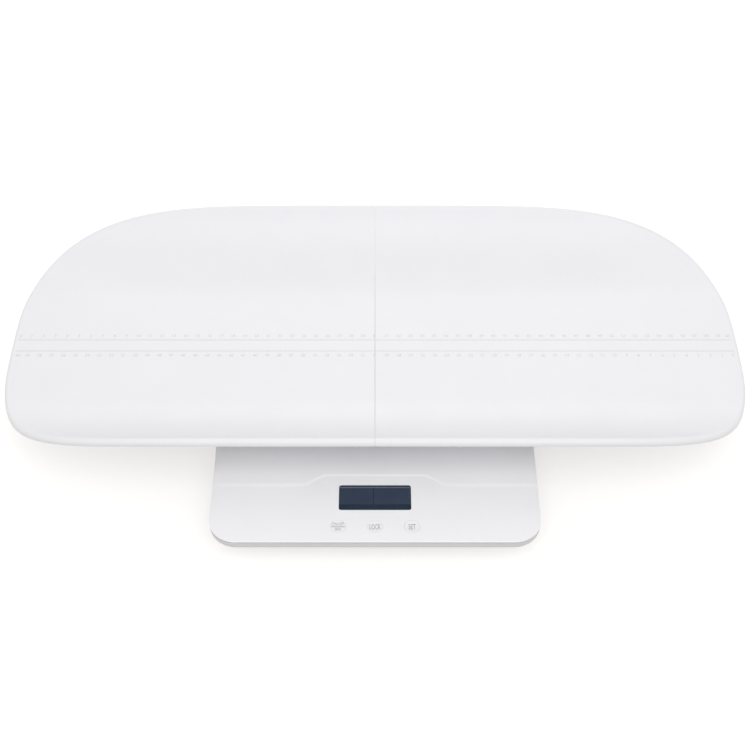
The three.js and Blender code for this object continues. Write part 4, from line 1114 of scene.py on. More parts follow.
def shell_levels(sizes, wall, turn_steps=8, edge_steps=5):
    """Insets and heights of the shell's flank at a depth of wall inside it, from the top down."""
    band = SHELL_HIGH.z - sizes.shell_band
    radius = max(sizes.shell_turn - wall, 0)
    rim = 0 if wall else sizes.shell_rim
    side = sizes.shell_inset + wall
    levels = [(side + inset, SHELL_HIGH.z - drop) for inset, drop in edge_arc_down(rim)]
    for i in range(turn_steps + 1):
        turn = sizes.shell_slope * i / turn_steps
        levels.append((side + radius * (1 - math.cos(turn)), band - radius * math.sin(turn)))
    inset, z = levels[-1]
    bottom = sizes.bottom + wall
    tangent = math.tan(sizes.shell_slope)
    edge = max(sizes.shell_edge - wall, 0)
    end = inset + (z - bottom) * tangent
    if edge:
        turned_by = QUARTER - sizes.shell_slope
        foot = end + edge * math.tan(turned_by / 2)
        for i in range(edge_steps + 1):
            turn = turned_by * (1 - i / edge_steps)
            levels.append((foot - edge * math.sin(turn), bottom + edge * (1 - math.cos(turn))))
    else:
        levels.append((end, bottom))
    return levels


def shell_ring(sizes, inset, z, steps):
    """The outline of the base at a height, drawn in by an inset."""
    half = (COVER_HIGH - COVER_LOW) / 2
    outline = rounded(half.x - inset, half.y - inset, sizes.corner - sizes.corner_share * inset, steps)
    return [(at.x, at.y + BASE_MIDDLE.y, z) for at, _ in outline]


def shell_solid(form, sizes, wall):
    """The shell's outer form, or the hollow inside its wall, which reaches past its upper edge."""
    levels = shell_levels(sizes, wall)
    if wall:
        inset, z = levels[0]
        levels.insert(0, (inset, z + OVERRUN))
    form.loft([shell_ring(sizes, inset, z, sizes.corner_steps) for inset, z in levels])


def slope_y(sizes, z):
    """Rear of the base at a height of its lower flank."""
    levels = shell_levels(sizes, 0)
    for (near, high), (far, low) in zip(levels, levels[1:]):
        if low <= z <= high and low < high:
            share = (high - z) / (high - low)
            return COVER_HIGH.y - (near + (far - near) * share)
    return COVER_HIGH.y - levels[-1][0]


def wedge(form, sizes, half_x, front, low, high, inside):
    """A block whose rear end follows the slope of the shell."""
    rings = []
    for z in (low, high):
        rear = slope_y(sizes, z) - inside
        rings.append([(-half_x, front, z), (half_x, front, z), (half_x, rear, z), (-half_x, rear, z)])
    form.loft(rings)


def bay_limits(under):
    """The inside of the battery bay: half width, front, rear and roof."""
    front = DOOR_LOW.y + under.bay_front
    return under.bay_half, front, front + under.bay_depth, under.bay_roof


def shell_joined(sizes, under):
    """Solids joined to the shell: the battery bay, the thick floor beside the door and the bosses."""
    half, front, rear, roof = bay_limits(under)
    wall = under.bay_wall
    low = sizes.bottom
    rail_half = (DOOR_HIGH.x - DOOR_LOW.x) / 2 + under.rail_width
    rail_front = DOOR_LOW.y - under.rail_width
    rail_low, rail_high = low + OVERRUN / 2, low + under.rail_height
    bay_low = (-half - wall, front - wall, low + OVERRUN)
    bay_high = (half + wall, rear + wall, roof + wall)
    joined = [
        solid_mesh(block, bay_low, bay_high),
        solid_mesh(wedge, sizes, rail_half, rail_front, rail_low, rail_high, OVERRUN),
    ]
    for name in CASE_SCREWS:
        at = middle(name)
        joined.append(solid_mesh(rod, at.x, at.y, under.boss_radius, low + OVERRUN, low + sizes.boss_height))
    return joined


def door_opening(sizes, under):
    """Solids cut from the shell for the door, with a wider slot for its tongues."""
    gap = sizes.seat_gap
    wide = (DOOR_HIGH.x - DOOR_LOW.x) / 2 + gap
    narrow = wide - under.door_tongue
    front = DOOR_LOW.y - gap
    rear = SHELL_HIGH.y + OVERRUN
    top = DOOR_HIGH.z + gap
    slot_low = DOOR_HIGH.z - under.door_tongue_height - gap
    return [
        solid_mesh(block, (-narrow, front, sizes.bottom - OVERRUN), (narrow, rear, top)),
        solid_mesh(block, (-wide, front, slot_low), (wide, rear, top)),
    ]


def shell_cuts(sizes, under):
    """Solids cut from the shell: the bay, the door's opening and the holes for screws and feet."""
    half, front, rear, roof = bay_limits(under)
    low = sizes.bottom
    below = low - OVERRUN
    bore = under.screw_radius + sizes.seat_gap
    cut = [solid_mesh(block, (-half, front, below), (half, rear, roof)), *door_opening(sizes, under)]
    for name in CASE_SCREWS:
        at = middle(name)
        cut.append(solid_mesh(rod, at.x, at.y, under.recess_radius, below, low + under.recess_depth))
        cut.append(solid_mesh(rod, at.x, at.y, bore, low, low + sizes.boss_height + OVERRUN))
    for corner in CORNERS:
        at = middle("foot_" + corner)
        cut.append(solid_mesh(rod, at.x, at.y, under.stem_hole, below, low + 2 * sizes.shell_wall))
    return cut


def make_shell(context):
    sizes = context.scene.scale_base
    under = context.scene.scale_under
    outer = solid_mesh(shell_solid, sizes, 0)
    inner = solid_mesh(shell_solid, sizes, sizes.shell_wall)
    hollow = carved(outer, [], [inner])
    mesh = carved(hollow, shell_joined(sizes, under), shell_cuts(sizes, under))
    finish = shell_finish(context.scene.scale_colours)
    piece("lower_shell", mesh, "base", "case_plastic", finish, "base_bottom_shell", sharp=24)


def door_section(under, low, high, edge):
    """Half widths and heights of the door's cross section, from the bottom of its right side up."""
    half = (DOOR_HIGH.x - DOOR_LOW.x) / 2
    inner = half - under.door_tongue
    step = high - under.door_tongue_height
    right = [(inner - edge, low), (inner - edge / 4, low + edge / 4), (inner, low + edge), (inner, step)]
    right += [(half - edge / 2, step), (half, step + edge / 2), (half, high - edge / 2)]
    right += [(half - edge / 2, high)]
    return right + [(-x, z) for x, z in reversed(right)]


def door_plate(form, sizes, under):
    """The door's plate, bevelled at its front, with a rear end that follows the slope of the shell."""
    low, high = DOOR_LOW.z, DOOR_HIGH.z
    section = door_section(under, low, high, under.door_edge)
    narrow = 1 - under.door_front_narrow
    thin = under.door_front_thin
    front = [(x * narrow, DOOR_LOW.y, z + (low + high - 2 * z) * thin) for x, z in section]
    shoulder = [(x, DOOR_LOW.y + under.door_front_edge, z) for x, z in section]
    form.loft([front, shoulder, [(x, slope_y(sizes, z), z) for x, z in section]])


def door_grip(form, under, y):
    """A half round grip ridge across the door."""
    low = DOOR_LOW.z
    radius = under.grip_height
    section = [(y + radius * math.sin(turn), low - radius * math.cos(turn)) for turn in half_round()]
    section += [(y + radius, low + SEATED), (y - radius, low + SEATED)]
    form.loft([[(side * under.grip_half, *at) for at in section] for side in SIDES])


def door_arrow(form, under, tip):
    """A raised arrow that points to the rear, the way the door opens."""
    back = tip - under.arrow_length
    corners = ((-under.arrow_half, back), (under.arrow_half, back), (0, tip))
    levels = (DOOR_LOW.z - under.grip_height / 2, DOOR_LOW.z + SEATED)
    form.loft([[(x, y, z) for x, y in corners] for z in levels])


def make_door(context):
    sizes = context.scene.scale_base
    under = context.scene.scale_under
    form = Form()
    door_plate(form, sizes, under)
    grips_front = DOOR_HIGH.y - under.grips_place
    for i in range(under.grips):
        door_grip(form, under, grips_front + i * under.grip_pitch)
    door_arrow(form, under, grips_front - under.grip_pitch)
    finish = shell_finish(context.scene.scale_colours)
    mesh = form.mesh("door_panel")
    piece("door_panel", mesh, "battery_door", "case_plastic", finish, "battery_door", sharp=25)


# Display window and keys


def make_window(context):
    display = context.scene.scale_display
    form = Form()
    centre = (WINDOW_LOW + WINDOW_HIGH) / 2
    half = (WINDOW_HIGH - WINDOW_LOW) / 2 + Vector((1, 1, 0)) * display.lens_grow
    low, high = WINDOW_LOW.z, WINDOW_HIGH.z
    plate(form, centre, half.x, half.y, display.corner, low, high, display.lens_edge, steps=8)
    finish = window_finish(context.scene.scale_colours, display)
    piece("window_lens", form.mesh("window_lens"), "base", "window_lens", finish, "display_window")


def key_height(display, top, distance):
    """Height of a key's upper face at a distance from its axis."""
    dish = display.key_radius - display.key_rim
    share = min(distance / dish, 1)
    return top - display.key_dish * (1 - share * share)


def key_outline(display, low, high, dish_steps=14):
    """Radii and heights of a key: its stem, its flange under the cover, its edge and its dish."""
    radius = display.key_radius
    stem = display.key_stem
    dish = radius - display.key_rim
    flange = radius + display.key_flange
    flange_top = high - (WINDOW_HIGH.z - WINDOW_LOW.z) - display.key_flange_drop
    flange_low = flange_top - display.key_flange_height
    outline = [(0, low), (stem, low), (stem, flange_low), (flange, flange_low), (flange, flange_top)]
    outline.append((radius, flange_top))
    outline += [(radius - inset, high - drop) for inset, drop in edge_arc(display.key_edge, steps=5)]
    for i in range(1, dish_steps + 1):
        distance = dish * (1 - i / dish_steps)
        outline.append((distance, key_height(display, high, distance)))
    return outline


def key_rule(form, display, x, y, surface):
    """The line between the two words of the left key, in short faces that follow its dish."""
    reach = display.rule_half
    thick = display.rule_half_width
    pitch = 2 * reach / display.rule_steps
    for i in range(display.rule_steps):
        near = x - reach + i * pitch
        far = near + pitch
        corners = ((near, y - thick), (far, y - thick), (far, y + thick), (near, y + thick))
        form.faces.append(tuple(form.ring([(px, py, surface(px, py)) for px, py in corners])))


def key_words(display, name, x, y, top):
    """The small printed words of one key, laid in its dish."""
    form = Form()

    def surface(px, py):
        return key_height(display, top, math.hypot(px - x, py - y)) + display.print_height

    def write(words, height, narrow, rise=0):
        print_letters(form, letters(words, height, narrow), x, y + rise, surface)

    if name == "power":
        upper, lower = display.letter_height, display.low_letter_height
        write("ON/OFF", upper, display.letter_narrow, display.letter_gap + upper / 2)
        write("ZERO", lower, display.letter_narrow, -display.letter_gap - lower / 2)
        key_rule(form, display, x, y, surface)
    elif name == "hold":
        write("LOCK", display.tall_height, display.tall_narrow)
    else:
        write("SET", display.tall_height, display.unit_narrow)
    return form


def make_keys(context):
    display = context.scene.scale_display
    colours = context.scene.scale_colours
    finish = plastic("Key plastic", colours.key, roughness=0.36, grain=0.35, variation=0.03)
    ink = print_finish("Key print", colours.lettering, roughness=0.55)
    for name in KEYS:
        node = "key_" + name
        cap, words = "key_cap_" + name, "key_words_" + name
        low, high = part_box(node)
        at = (low + high) / 2
        form = Form()
        form.turned(key_outline(display, low.z, high.z), at.x, at.y)
        piece(cap, form.mesh(cap), node, "key_plastic", finish, node, sharp=35)
        form = key_words(display, name, at.x, at.y, high.z)
        piece(words, form.mesh(words), node, "key_plastic", ink, relief=2 * display.print_height)


# Feet, pads and screws


def foot_outline(under, radius, low, high, pad_top):
    """Radii and heights of a foot: the pocket for its pad, its rim, its stem and the head of the stem."""
    pocket = radius - under.foot_wall
    top = under.foot_top
    edge = under.foot_low_edge
    stem = under.foot_stem
    head = under.foot_head
    head_high = high - under.foot_head_slope
    head_low = head_high - under.foot_head_height
    outline = [(0, pad_top), (pocket, pad_top), (pocket, low + edge / 2), (pocket + edge / 2, low)]
    outline += [(radius - inset, low + drop) for inset, drop in edge_arc_down(edge, steps=4)]
    outline += [(radius - inset, top - drop) for inset, drop in edge_arc(under.foot_edge, steps=6)]
    outline += [(stem, top), (stem, head_low), (head, head_low), (head, head_high), (stem, high), (0, high)]
    return outline


def pad_outline(under, radius, high):
    """Radii and heights of a rubber pad with round grip grooves in its lower face."""
    edge = under.pad_edge
    deep = under.groove_depth
    outline = [(0, 0)]
    for i in range(under.grooves):
        near = radius * (i + 1) / (under.grooves + 1) - under.groove_width / 2
        far = near + under.groove_width
        outline += [(near, 0), (near, deep), (far, deep), (far, 0)]
    outline += [(radius - inset, drop) for inset, drop in edge_arc_down(edge)]
    outline += [(radius - inset, high - drop) for inset, drop in edge_arc(edge)]
    outline.append((0, high))
    return outline


def make_feet(context):
    under = context.scene.scale_under
    colours = context.scene.scale_colours
    gap = context.scene.scale_base.seat_gap
    finish = foot_finish(colours)
    rubber = rubber_finish(colours.rubber)
    for corner in CORNERS:
        foot, pad = "foot_" + corner, "foot_pad_" + corner
        cup_name, pad_name = "foot_cup_" + corner, "pad_" + corner
        low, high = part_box(foot)
        pad_low, pad_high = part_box(pad)
        at = (low + high) / 2
        form = Form()
        outline = foot_outline(under, (high.x - low.x) / 2, low.z, high.z, pad_high.z + gap)
        form.turned(outline, at.x, at.y, steps=72)
        piece(cup_name, form.mesh(cup_name), foot, "holder_plastic", finish, foot, sharp=35)
        form = Form()
        form.turned(pad_outline(under, (pad_high.x - pad_low.x) / 2, pad_high.z), at.x, at.y, steps=72)
        piece(pad_name, form.mesh(pad_name), foot, "pad_rubber", rubber, pad, sharp=35)


def screw_solid(form, under, at, low, high, radius):
    """A case screw, head downwards, with a thread of plain rings."""
    edge = under.screw_edge
    shank = under.screw_radius
    root = shank * under.screw_root
    head = low + under.screw_head_height
    outline = [(0, low), (radius * under.screw_face, low), (radius * under.screw_crown, low + edge / 2)]
    outline += [(radius, low + 2 * edge), (radius, head), (shank, head)]
    pitch = (high - head - 2 * under.screw_plain) / under.screw_turns
    for i in range(under.screw_turns):
        z = head + under.screw_plain + i * pitch
        outline += [(root, z + pitch / 4), (shank, z + 3 * pitch / 4)]
    outline += [(shank * under.screw_tip_share, high - under.screw_tip), (0, high)]
    form.turned(outline, at.x, at.y, steps=40)


def screw_recess(under, at, low):
    """The two arms of the cross recess in a screw's head, as solids to cut."""
    far, near = under.screw_cross / 2, under.screw_cross_width / 2
    deep = low + under.screw_cross_depth
    arms = []
    for x, y in ((far, near), (near, far)):
        arms.append(solid_mesh(block, (at.x - x, at.y - y, low - OVERRUN), (at.x + x, at.y + y, deep)))
    return arms


def make_screws(context):
    under = context.scene.scale_under
    steel = screw_finish(context.scene.scale_colours)
    for name in CASE_SCREWS:
        low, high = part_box(name)
        at = (low + high) / 2
        body = solid_mesh(screw_solid, under, at, low.z, high.z, (high.x - low.x) / 2)
        mesh = carved(body, [], screw_recess(under, at, low.z))
        piece(name.replace("case_screw", "screw_in_case"), mesh, "base", "steel", steel, name)


# Finishes


class Nodes:
    """The nodes of one material while it is made."""

    def __init__(self, name):
        self.material = bpy.data.materials.new(name)
        self.material.use_nodes = True
        self.tree = self.material.node_tree
        self.shader = self.tree.nodes["Principled BSDF"]

    def add(self, kind, **values):
        node = self.tree.nodes.new(kind)
        for key, value in values.items():
            if key in node.inputs:
                node.inputs[key].default_value = value
            else:
                setattr(node, key.lower(), value)
        return node

    def link(self, source, target):
        self.tree.links.new(source, target)

    def place(self):
        return self.add("ShaderNodeTexCoord").outputs["Object"]

    def noise(self, scale, detail=3.0):
        """Cloudy values between zero and one: scale is how many clouds fit in a metre."""
        noise = self.add("ShaderNodeTexNoise", Scale=scale, Detail=detail, Roughness=NOISE_ROUGHNESS)
        self.link(self.place(), noise.inputs["Vector"])
        return noise.outputs["Fac"]

    def spread(self, source, low, high):
        """A noise value spread between two limits."""
        ramp = self.add("ShaderNodeMapRange")
        ramp.inputs["From Min"].default_value = NOISE_LOW
        ramp.inputs["From Max"].default_value = NOISE_HIGH
        ramp.inputs["To Min"].default_value = low
        ramp.inputs["To Max"].default_value = high
        self.link(source, ramp.inputs["Value"])
        return ramp.outputs["Result"]

    def mixed(self, share, first, second):
        mix = self.add("ShaderNodeMix", data_type="RGBA")
        for socket, value in ((mix.inputs[6], first), (mix.inputs[7], second)):
            if isinstance(value, tuple):
                socket.default_value = value
            else:
                self.link(value, socket)
        self.link(share, mix.inputs["Factor"])
        return mix.outputs[2]

    def bump(self, height, strength, distance, before=None):
        bump = self.add("ShaderNodeBump")
        bump.inputs["Strength"].default_value = strength
        bump.inputs["Distance"].default_value = distance
        self.link(height, bump.inputs["Height"])
        if before:
            self.link(before, bump.inputs["Normal"])
        return bump.outputs["Normal"]

    def finish(self, colour=None, roughness=None, normal=None, **constants):
        for name, source in (("Base Color", colour), ("Roughness", roughness), ("Normal", normal)):
            if source is None:
                continue
            if isinstance(source, (tuple, float, int)):
                self.shader.inputs[name].default_value = source
            else:
                self.link(source, self.shader.inputs[name])
        for name, value in constants.items():
            self.shader.inputs[name.replace("_", " ")].default_value = value
        return self.material


def tone(colour, share=1.0):
    """A colour made darker or lighter by a share, for a socket."""
    return tuple(min(channel * share, 1.0) for channel in colour) + (1.0,)


def known(name, make):
    """A material by its name, made once."""
    return bpy.data.materials.get(name) or make(Nodes(name))


def plastic(name, colour, roughness, grain, variation):
    """Moulded plastic: a fine grain, a slow swell of the face and a slight change of colour."""

    def make(nodes):
        slow = nodes.noise(scale=9.0, detail=2.0)
        fine = nodes.noise(scale=2600.0, detail=4.0)
        cloud = nodes.spread(nodes.noise(scale=30.0, detail=5.0), 0.0, 1.0)
        shade = nodes.mixed(cloud, tone(colour, 1 - variation), tone(colour, 1 + variation / 3))
        swell = nodes.bump(slow, strength=0.25, distance=1.2 * MM)
        skin = nodes.bump(fine, strength=grain, distance=0.03 * MM, before=swell)
        rough = nodes.spread(nodes.noise(scale=45.0, detail=2.0), roughness - 0.02, roughness + 0.03)
        return nodes.finish(shade, rough, skin, IOR=1.5)

    return known(name, make)


def tray_finish(colours):
    return plastic("Tray plastic", colours.tray, roughness=0.4, grain=0.0, variation=0.012)


def case_finish(colours):
    return plastic("Cover plastic", colours.case, roughness=0.42, grain=0.6, variation=0.015)


# This colour holds the plastic's own tone and also painted shade for the band under the cover's edge.
def shell_finish(colours):
    return plastic("Underside plastic", colours.shell, roughness=0.46, grain=0.8, variation=0.02)


def foot_finish(colours):
    return plastic("Foot plastic", colours.foot, roughness=0.48, grain=0.5, variation=0.02)


def screw_finish(colours):
    return steel_finish("Screw steel", colours.screw, roughness=0.3)


def print_finish(name, colour, roughness):
    """Thin print whose cover varies a little."""

    def make(nodes):
        worn = nodes.spread(nodes.noise(scale=900.0, detail=4.0), 0.0, 1.0)
        shade = nodes.mixed(worn, tone(colour, 0.94), tone(colour, 1.12))
        grain = nodes.bump(nodes.noise(scale=4000.0, detail=2.0), strength=0.2, distance=0.02 * MM)
        return nodes.finish(shade, roughness, grain)

    return known(name, make)


def rubber_finish(colour):
    """Soft rubber: dull, with a coarse skin and a trace of dust."""

    def make(nodes):
        dust = nodes.spread(nodes.noise(scale=260.0, detail=6.0), 0.0, 1.0)
        shade = nodes.mixed(dust, tone(colour, 0.85), tone(colour, 1.6))
        skin = nodes.bump(nodes.noise(scale=1800.0, detail=4.0), strength=0.6, distance=0.08 * MM)
        rough = nodes.spread(nodes.noise(scale=300.0), 0.78, 0.95)
        return nodes.finish(shade, rough, skin)

    return known("Pad rubber", make)


def steel_finish(name, colour, roughness):
    """Rolled steel: fine streaks along one way and small changes of gloss."""

    def make(nodes):
        stretch = nodes.add("ShaderNodeMapping")
        stretch.inputs["Scale"].default_value = (1.0, 14.0, 1.0)
        nodes.link(nodes.place(), stretch.inputs["Vector"])
        streak = nodes.add("ShaderNodeTexNoise", Scale=700.0, Detail=3.0)
        nodes.link(stretch.outputs["Vector"], streak.inputs["Vector"])
        streaks = nodes.spread(streak.outputs["Fac"], 0.0, 1.0)
        shade = nodes.mixed(streaks, tone(colour, 0.9), tone(colour, 1.06))
        rough = nodes.spread(nodes.noise(scale=420.0), roughness - 0.06, roughness + 0.1)
        skin = nodes.bump(streak.outputs["Fac"], strength=0.25, distance=0.02 * MM)
        return nodes.finish(shade, rough, skin, Metallic=1.0)

    return known(name, make)


def stripe(nodes, along, start, stop, soft):
    """One where a coordinate lies between two places, zero elsewhere, with soft edges."""
    both = nodes.add("ShaderNodeMath", operation="MULTIPLY")
    limits = ((start - soft, start + soft), (stop + soft, stop - soft))
    for socket, (nothing, full) in zip(both.inputs, limits):
        edge = nodes.add("ShaderNodeMapRange", interpolation_type="SMOOTHSTEP")
        edge.inputs["From Min"].default_value = nothing
        edge.inputs["From Max"].default_value = full
        nodes.link(along, edge.inputs["Value"])
        nodes.link(edge.outputs["Result"], socket)
    return both.outputs["Value"]


def window_finish(colours, display):
    """Dark window with painted light: a painted highlight line near its rear, a painted reflection of the
    tray's seam and a darker band along its front.
    """
    line = display.line_width
    soft = line / 3
    line_y = WINDOW_HIGH.y - display.rear_line
    highlight_front_y = line_y - line
    seam_reflection_x = -display.divider_x
    half = display.divider_width / 2
    band_y = WINDOW_LOW.y + display.front_band

    def make(nodes):
        parts = nodes.add("ShaderNodeSeparateXYZ")
        nodes.link(nodes.place(), parts.inputs["Vector"])
        x, y = parts.outputs["X"], parts.outputs["Y"]
        dark, bright = tone(colours.window_band), tone(colours.window_line)
        cloud = nodes.spread(nodes.noise(scale=60.0, detail=2.0), 0.0, 1.0)
        glass = nodes.mixed(cloud, tone(colours.window, 0.95), tone(colours.window, 1.08))
        # Painted reflection of the tray's seam: a dark line across the window, in front of the highlight
        # line.
        split = nodes.mixed(stripe(nodes, x, seam_reflection_x - half, seam_reflection_x + half, soft), glass, dark)
        whole = nodes.mixed(stripe(nodes, y, highlight_front_y, WINDOW_HIGH.y + OVERRUN, soft), split, glass)
        # Painted highlight: a light line near the window's rear.
        lined = nodes.mixed(stripe(nodes, y, highlight_front_y, line_y, soft), whole, bright)
        shade = nodes.mixed(stripe(nodes, y, WINDOW_LOW.y - OVERRUN, band_y, line), lined, dark)
        skin = nodes.bump(nodes.noise(scale=25.0, detail=1.0), strength=0.02, distance=0.1 * MM)
        return nodes.finish(shade, 0.035, skin, IOR=1.49)

    return known("Window lens", make)


def panel_finish(inner):
    """Liquid crystal glass with faint rows of electrodes."""

    def make(nodes):
        wave = nodes.add("ShaderNodeTexWave", Scale=260.0, Distortion=0.0)
        nodes.link(nodes.place(), wave.inputs["Vector"])
        shade = nodes.mixed(wave.outputs["Fac"], tone(inner.glass), tone(inner.electrode))
        return nodes.finish(shade, nodes.spread(nodes.noise(scale=80.0), 0.12, 0.2), Specular_IOR_Level=0.6)

    return known("Display glass", make)


def board_finish(inner):
    """Circuit board: green lacquer over copper fields with lighter lines between them."""

    def make(nodes):
        brick = nodes.add("ShaderNodeTexBrick", Scale=260.0)
        brick.inputs["Color1"].default_value = tone(inner.lacquer)
        brick.inputs["Color2"].default_value = tone(inner.lacquer_light)
        brick.inputs["Mortar"].default_value = tone(inner.track)
        nodes.link(nodes.place(), brick.inputs["Vector"])
        skin = nodes.bump(brick.outputs["Fac"], strength=0.4, distance=0.06 * MM)
        rough = nodes.spread(nodes.noise(scale=200.0), 0.3, 0.45)
        return nodes.finish(brick.outputs["Color"], rough, skin)

    return known("Circuit board lacquer", make)


def jacket_finish(inner):
    """Printed jacket of a small round cell, with a lighter band along it."""

    def make(nodes):
        wave = nodes.add("ShaderNodeTexWave", Scale=12.0, Distortion=0.4)
        nodes.link(nodes.place(), wave.inputs["Vector"])
        shade = nodes.mixed(wave.outputs["Fac"], tone(inner.jacket), tone(inner.jacket_band))
        skin = nodes.bump(nodes.noise(scale=900.0), strength=0.3, distance=0.03 * MM)
        return nodes.finish(shade, nodes.spread(nodes.noise(scale=90.0), 0.22, 0.36), skin, Coat_Weight=0.4)

    return known("Cell jacket", make)


def dress(finish, *names):
    """Gives nodes of the frame one finish."""
    for name in names:
        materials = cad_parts[name].data.materials
        materials.clear()
        materials.append(finish)


def lead_finish(name, colour, variation):
    return plastic(name, colour, roughness=0.45, grain=0.6, variation=variation)


def make_inner_finishes(context):
    colours = context.scene.scale_colours
    inner = context.scene.scale_inner
    diffuser = plastic("Diffuser", inner.diffuser, roughness=0.5, grain=0.3, variation=0.03)
    elastomer = plastic("Elastomer", inner.elastomer, roughness=0.78, grain=0.8, variation=0.08)
    resin = plastic("Chip resin", inner.resin, roughness=0.5, grain=0.9, variation=0.15)
    switch = plastic("Switch plastic", inner.switch, roughness=0.45, grain=0.5, variation=0.1)
    plunger = plastic("Plunger plastic", inner.plunger, roughness=0.4, grain=0.4, variation=0.1)
    cell = steel_finish("Load cell steel", inner.cell, roughness=0.34)
    contact = steel_finish("Contact steel", inner.contact, roughness=0.25)
    dress(panel_finish(inner), "lcd_panel")
    dress(diffuser, "lcd_backlight")
    dress(elastomer, "lcd_connector_strip")
    dress(board_finish(inner), "main_circuit_board")
    dress(resin, "controller_chip")
    dress(switch, *(f"switch_body_{key}" for key in KEYS))
    dress(plunger, *(f"switch_plunger_{key}" for key in KEYS))
    dress(cell, *(f"load_cell_{corner}" for corner in CORNERS))
    dress(foot_finish(colours), *(f"load_cell_holder_{corner}" for corner in CORNERS))
    dress(screw_finish(colours), *BOARD_SCREWS)
    dress(contact, "battery_contact_left", "battery_contact_right")
    dress(jacket_finish(inner), *(f"battery_{i}" for i in range(1, 4)))
    dress(lead_finish("White lead", inner.lead_white, 0.06), *(f"lead_{corner}" for corner in CORNERS))
    dress(lead_finish("Red lead", inner.lead_red, 0.08), "battery_lead_red")
    dress(lead_finish("Black lead", inner.lead_black, 0.1), "battery_lead_black")


# Stage


def seen_directly(tree):
    """A socket that is one for what the camera sees, also in a reflection or through glass."""
    path = tree.nodes.new("ShaderNodeLightPath")
    seen = path.outputs["Is Camera Ray"]
    for kind in ("Is Glossy Ray", "Is Transmission Ray"):
        either = tree.nodes.new("ShaderNodeMath")
        either.operation = "MAXIMUM"
        tree.links.new(seen, either.inputs[0])
        tree.links.new(path.outputs[kind], either.inputs[1])
        seen = either.outputs["Value"]
    return seen


def paper_finish(colour, lift):
    """Pale floor and backdrop that the camera sees as white where nothing shades them."""

    def make(nodes):
        cloud = nodes.spread(nodes.noise(scale=3.0, detail=2.0), 0.0, 1.0)
        shade = nodes.mixed(cloud, tone(colour, 0.99), tone(colour))
        strength = nodes.add("ShaderNodeMath", operation="MULTIPLY")
        strength.inputs[1].default_value = lift
        nodes.link(seen_directly(nodes.tree), strength.inputs[0])
        nodes.link(strength.outputs["Value"], nodes.shader.inputs["Emission Strength"])
        nodes.shader.inputs["Emission Color"].default_value = WHITE
        rough = nodes.spread(nodes.noise(scale=12.0), 0.85, 0.95)
        return nodes.finish(shade, rough, Specular_IOR_Level=0.1)

    return known("Floor paper", make)


def make_backdrop(stage):
    """A floor that bends up into a backdrop behind the scale."""
    form = Form()
    bend = stage.backdrop_bend
    rear = stage.floor_rear
    profile = [(-stage.floor_half, 0), (rear - bend, 0)]
    for i in range(1, stage.bend_steps + 1):
        turn = QUARTER * i / stage.bend_steps
        profile.append((rear - bend + bend * math.sin(turn), bend * (1 - math.cos(turn))))
    profile.append((rear, stage.backdrop_height))
    rings = [form.ring([(side * stage.floor_half, y, z) for side in SIDES]) for y, z in profile]
    form.bands(rings, closed=False)
    mesh = form.mesh("floor")
    mesh.shade_smooth()
    floor = bpy.data.objects.new("floor", mesh)
    bpy.context.scene.collection.objects.link(floor)
    mesh.materials.append(paper_finish(stage.paper, stage.paper_lift))


def make_lamp(name, place, width, depth, power):
    """A soft lamp that points at the scale."""
    lamp = bpy.data.lights.new(name, "AREA")
    lamp.shape = "RECTANGLE"
    lamp.size, lamp.size_y = width, depth
    lamp.energy = power
    holder = bpy.data.objects.new(name, lamp)
    holder.location = place
    holder.rotation_euler = (-Vector(place)).to_track_quat("-Z", "Y").to_euler()
    bpy.context.scene.collection.objects.link(holder)


def make_world(level):
    """Even light all round, and white wherever the camera, a reflection or glass looks past the stage."""
    world = bpy.data.worlds.new("Studio")
    bpy.context.scene.world = world
    world.use_nodes = True
    tree = world.node_tree
    tree.nodes.clear()
    output = tree.nodes.new("ShaderNodeOutputWorld")
    mix = tree.nodes.new("ShaderNodeMixShader")
    for socket, strength in ((mix.inputs[1], level), (mix.inputs[2], 1.0)):
        light = tree.nodes.new("ShaderNodeBackground")
        light.inputs["Color"].default_value = WHITE
        light.inputs["Strength"].default_value = strength
        tree.links.new(light.outputs["Background"], socket)
    tree.links.new(seen_directly(tree), mix.inputs["Fac"])
    tree.links.new(mix.outputs["Shader"], output.inputs["Surface"])


def make_stage(context):
    stage = context.scene.scale_stage
    camera = bpy.data.cameras.new("Camera")
    camera.lens = stage.camera_focus
    camera.sensor_width = stage.camera_width
    camera.clip_start = stage.camera_near
    holder = bpy.data.objects.new("Camera", camera)
    holder.location = stage.camera_place
    holder.rotation_euler = (stage.camera_tilt, 0, 0)
    context.scene.collection.objects.link(holder)
    context.scene.camera = holder
    make_backdrop(stage)
    width = stage.lamp_width
    make_lamp("Main lamp", stage.main_place, width, stage.main_depth, stage.main_power)
    make_lamp("Rear lamp", stage.rear_place, width, stage.rear_depth, stage.rear_power)
    make_world(stage.world_level)
    context.scene.view_settings.view_transform = "Standard"


# Operators and panel


class SCALE_OT_stage(Operator):
    """Sets up the camera, the floor and the light"""

    bl_idname = "scale.stage"
    bl_label = "Stage"

    def execute(self, context):
        make_stage(context)
        return {"FINISHED"}


class SCALE_OT_tray(Operator):
    """Makes both halves of the tray with their legs, ribs, hooks and sockets"""

    bl_idname = "scale.tray"
    bl_label = "Tray halves"

    def execute(self, context):
        make_tray(context)
        return {"FINISHED"}


class SCALE_OT_ruler(Operator):
    """Makes the ruler along the middle of the tray"""

    bl_idname = "scale.ruler"
    bl_label = "Ruler"

    def execute(self, context):
        make_ruler(context)
        return {"FINISHED"}


class SCALE_OT_cover(Operator):
    """Makes the cover of the base with its step, window pocket, key holes and sockets"""

    bl_idname = "scale.cover"
    bl_label = "Base cover"

    def execute(self, context):
        make_cover(context)
        return {"FINISHED"}


